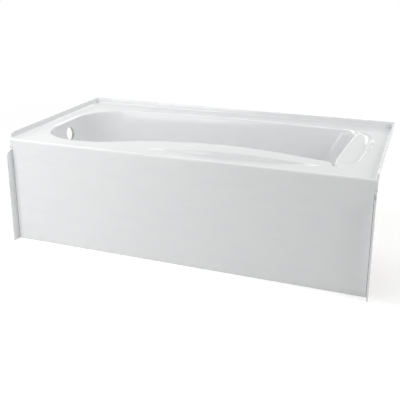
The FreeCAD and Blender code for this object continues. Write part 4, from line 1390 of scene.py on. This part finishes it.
def nuts(name, places, low, high, material):
    """A hexagon nut at each place, as one piece."""
    group = Fitting()
    for number, (x, y) in enumerate(places):
        start = len(group.points)
        group.hexagon(NUT_ACROSS, low, high, NUT_BORE)
        group.move(x, y, 0, start)
    return mesh_object(name, group, material, 25)


def bearer_screws(places, material):
    """Hexagon heads with a pressed washer face, under the bearers."""
    group = Fitting()
    for x, y in places:
        start = len(group.points)
        face = SCREW_HALF * 0.9
        rows = [group.ring(face, SCREW_HEAD[0])]
        rows.append(group.ring(SCREW_HALF, SCREW_HEAD[0], share=1.0, droop=-0.57, round_radius=face))
        rows.append(group.ring(SCREW_HALF, SCREW_HEAD[1], share=1.0))
        rows += [group.ring(radius, height) for radius, height in SCREW_WASHER]
        group.stack(rows)
        group.move(x, y, 0, start)
    return mesh_object("screws", group, material, 25)


# ---------------------------------------------------------------- put together


def place_piece(item, body, slot, *nodes):
    """Says which body a piece rides on and hides the CAD nodes that it stands for; the material slot is not
    used.
    """
    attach(item, body)
    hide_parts(*nodes)


def refinish(name, material, bevel=0.0):
    """A CAD piece that keeps its shape: its finish, and its edges eased."""
    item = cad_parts[name]
    item.data.materials.clear()
    item.data.materials.append(material)
    if bevel:
        eased = item.modifiers.new("eased_edges", "BEVEL")
        eased.width = bevel * MM
        eased.segments = 2
        eased.limit_method = "ANGLE"
        eased.angle_limit = math.radians(40)
        eased.harden_normals = True


place_piece(finished_tub(), "tub", "acrylic", "tub_shell")
place_piece(finished_backing(), "tub", "glass_fibre", "glass_fibre_backing")
for name in ("overflow_ring", "drain_ring"):
    refinish(name, glass_fibre, 0.8)
for name in ("front_rim_batten", "back_rim_batten", "apron_bottom_rail"):
    refinish(name, pine[0], 0.9)
for name in ("drain_rim_batten", "head_rim_batten"):
    refinish(name, pine[1], 0.9)
for number in range(1, 5):
    refinish(f"apron_brace_{number}", pine[2], 0.9)
refinish("base_board", chips, 0.7)
for name in ("drain_bearer", "head_bearer"):
    refinish(name, galvanised)

feet = []
for end in ("drain", "head"):
    for side in ("front", "back"):
        low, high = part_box(f"foot_pad_{end}_{side}")
        x, y = (low.x + high.x) / 2 / MM, (low.y + high.y) / 2 / MM
        feet.append((x, y))
        tag = f"{end}_{side}"
        place_piece(foot_pad(f"pad_{tag}", x, y, black), f"pad_{tag}", "foot_plastic", f"foot_pad_{tag}")
        place_piece(foot_stud(f"stud_{tag}", x, y, zinc), f"stud_{tag}", "stud_steel", f"foot_stud_{tag}")
place_piece(nuts("lower_nuts", feet, *LOCK_NUT, zinc), "tub", "stud_steel", "lock_nuts")
place_piece(nuts("upper_nuts", feet, *BEARING_NUT, zinc), "tub", "stud_steel", "bearing_nuts")
screw_low, screw_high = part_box("bearer_screws")
screw_corner = SCREW_HALF / math.cos(math.pi / 6)
screw_places = []
for x in (screw_low.x / MM + screw_corner, screw_high.x / MM - screw_corner):
    for y in (screw_low.y / MM + SCREW_HALF, screw_high.y / MM - SCREW_HALF):
        screw_places.append((x, y))
place_piece(bearer_screws(screw_places, zinc), "tub", "stud_steel", "bearer_screws")


# ---------------------------------------------------------------- stage, light and camera


WHITE = (1.0, 1.0, 1.0, 1.0)
FLOOR_GREY = (0.8, 0.8, 0.8, 1.0)
FLOOR_HALF = 40.0
FLOOR_GLOW = 0.42
WHITE_FROM = (1.3, 3.2)  # the floor turns white between these distances from the bath's middle
SKY_LIGHT = 0.25


def background_rays(tree):
    """1 for a ray that looks straight at the backdrop or sees it in a gloss or through a hole."""
    path = node(tree, "LightPath")
    seen = sums(tree, "MAXIMUM", path.outputs["Is Camera Ray"], path.outputs["Is Glossy Ray"])
    return sums(tree, "MAXIMUM", seen, path.outputs["Is Transmission Ray"])


def pale_floor():
    """A matt floor that keeps the shadow near the bath and is shown white further off."""
    mesh = bpy.data.meshes.new("floor")
    corners = [(-1, -1), (1, -1), (1, 1), (-1, 1)]
    mesh.from_pydata([(x * FLOOR_HALF, y * FLOOR_HALF, 0) for x, y in corners], [], [(0, 1, 2, 3)])
    floor = bpy.data.objects.new("floor", mesh)
    bpy.context.scene.collection.objects.link(floor)
    material = bpy.data.materials.new("pale_floor")
    material.use_nodes = True
    tree = material.node_tree
    tree.nodes.clear()
    matt = node(tree, "BsdfDiffuse", {"Color": FLOOR_GREY})
    place = node(tree, "TexCoord").outputs["Object"]
    away = node(tree, "VectorMath", {0: place}, operation="LENGTH").outputs["Value"]
    far = band(tree, away, *WHITE_FROM)
    glow = node(tree, "Emission", {"Color": WHITE, "Strength": between(tree, far, FLOOR_GLOW, 1.0)})
    mixed = node(tree, "MixShader", {0: far, 1: matt.outputs[0]})
    near = node(tree, "AddShader", {0: mixed.outputs[0], 1: glow.outputs[0]})
    shown = node(tree, "MixShader", {0: background_rays(tree), 1: matt.outputs[0], 2: near.outputs[0]})
    result = tree.nodes.new("ShaderNodeOutputMaterial")
    tree.links.new(shown.outputs[0], result.inputs["Surface"])
    mesh.materials.append(material)


def studio_sky():
    """Soft light from all round, shown as white behind the bath."""
    world = bpy.data.worlds.new("studio")
    bpy.context.scene.world = world
    world.use_nodes = True
    tree = world.node_tree
    tree.nodes.clear()
    soft = node(tree, "Background", {"Color": WHITE, "Strength": SKY_LIGHT})
    white = node(tree, "Background", {"Color": WHITE, "Strength": 1.0})
    chosen = node(tree, "MixShader", {0: background_rays(tree), 1: soft.outputs[0], 2: white.outputs[0]})
    result = tree.nodes.new("ShaderNodeOutputWorld")
    tree.links.new(chosen.outputs[0], result.inputs["Surface"])


def soft_box(name, place, aim, wide, tall, watts, glint=True):
    """A square lamp; without glint it lights the bath but isn't mirrored in it."""
    lamp = bpy.data.lights.new(name, "AREA")
    lamp.shape = "RECTANGLE"
    lamp.size = wide
    lamp.size_y = tall
    lamp.energy = watts
    item = bpy.data.objects.new(name, lamp)
    item.location = place
    item.rotation_euler = (Vector(aim) - Vector(place)).to_track_quat("-Z", "Y").to_euler()
    item.visible_camera = False
    item.visible_glossy = glint
    bpy.context.scene.collection.objects.link(item)


pale_floor()
studio_sky()
soft_box("front_left", (-1.3, -2.2, 0.9), (-0.6, -0.2, 0.3), 1.4, 1.4, 20.0)
soft_box("over_drain_end", (-1.4, -0.6, 2.2), (-0.4, 0.0, 0.2), 1.2, 1.2, 20.0)
soft_box("high_behind", (-0.3, 3.0, 2.8), (0.0, 0.0, 0.2), 3.0, 1.6, 50.0)
soft_box("head_end", (3.2, -0.6, 2.2), (0.0, 0.0, 0.2), 2.0, 2.0, 48.0, glint=False)
soft_box("low_strip_behind", (-0.1, 3.2, 0.98), (0.4, 0.0, 0.45), 1.8, 0.36, 2.0)

CAMERA_TURN = -20.3
CAMERA_DIP = 16.9
CAMERA_PLACE = (0.899, -2.517, 1.195)
camera = bpy.data.cameras.new("camera")
camera.lens = 57.0
camera.sensor_width = 36.0
camera.shift_y = -0.125
view = bpy.data.objects.new("camera", camera)
view.location = CAMERA_PLACE
dip, turn = math.radians(CAMERA_DIP), math.radians(CAMERA_TURN)
look = Vector((math.cos(dip) * math.sin(turn), math.cos(dip) * math.cos(turn), -math.sin(dip)))
view.rotation_euler = look.to_track_quat("-Z", "Y").to_euler()
bpy.context.scene.collection.objects.link(view)
bpy.context.scene.camera = view
bpy.context.scene.view_settings.view_transform = "Standard"
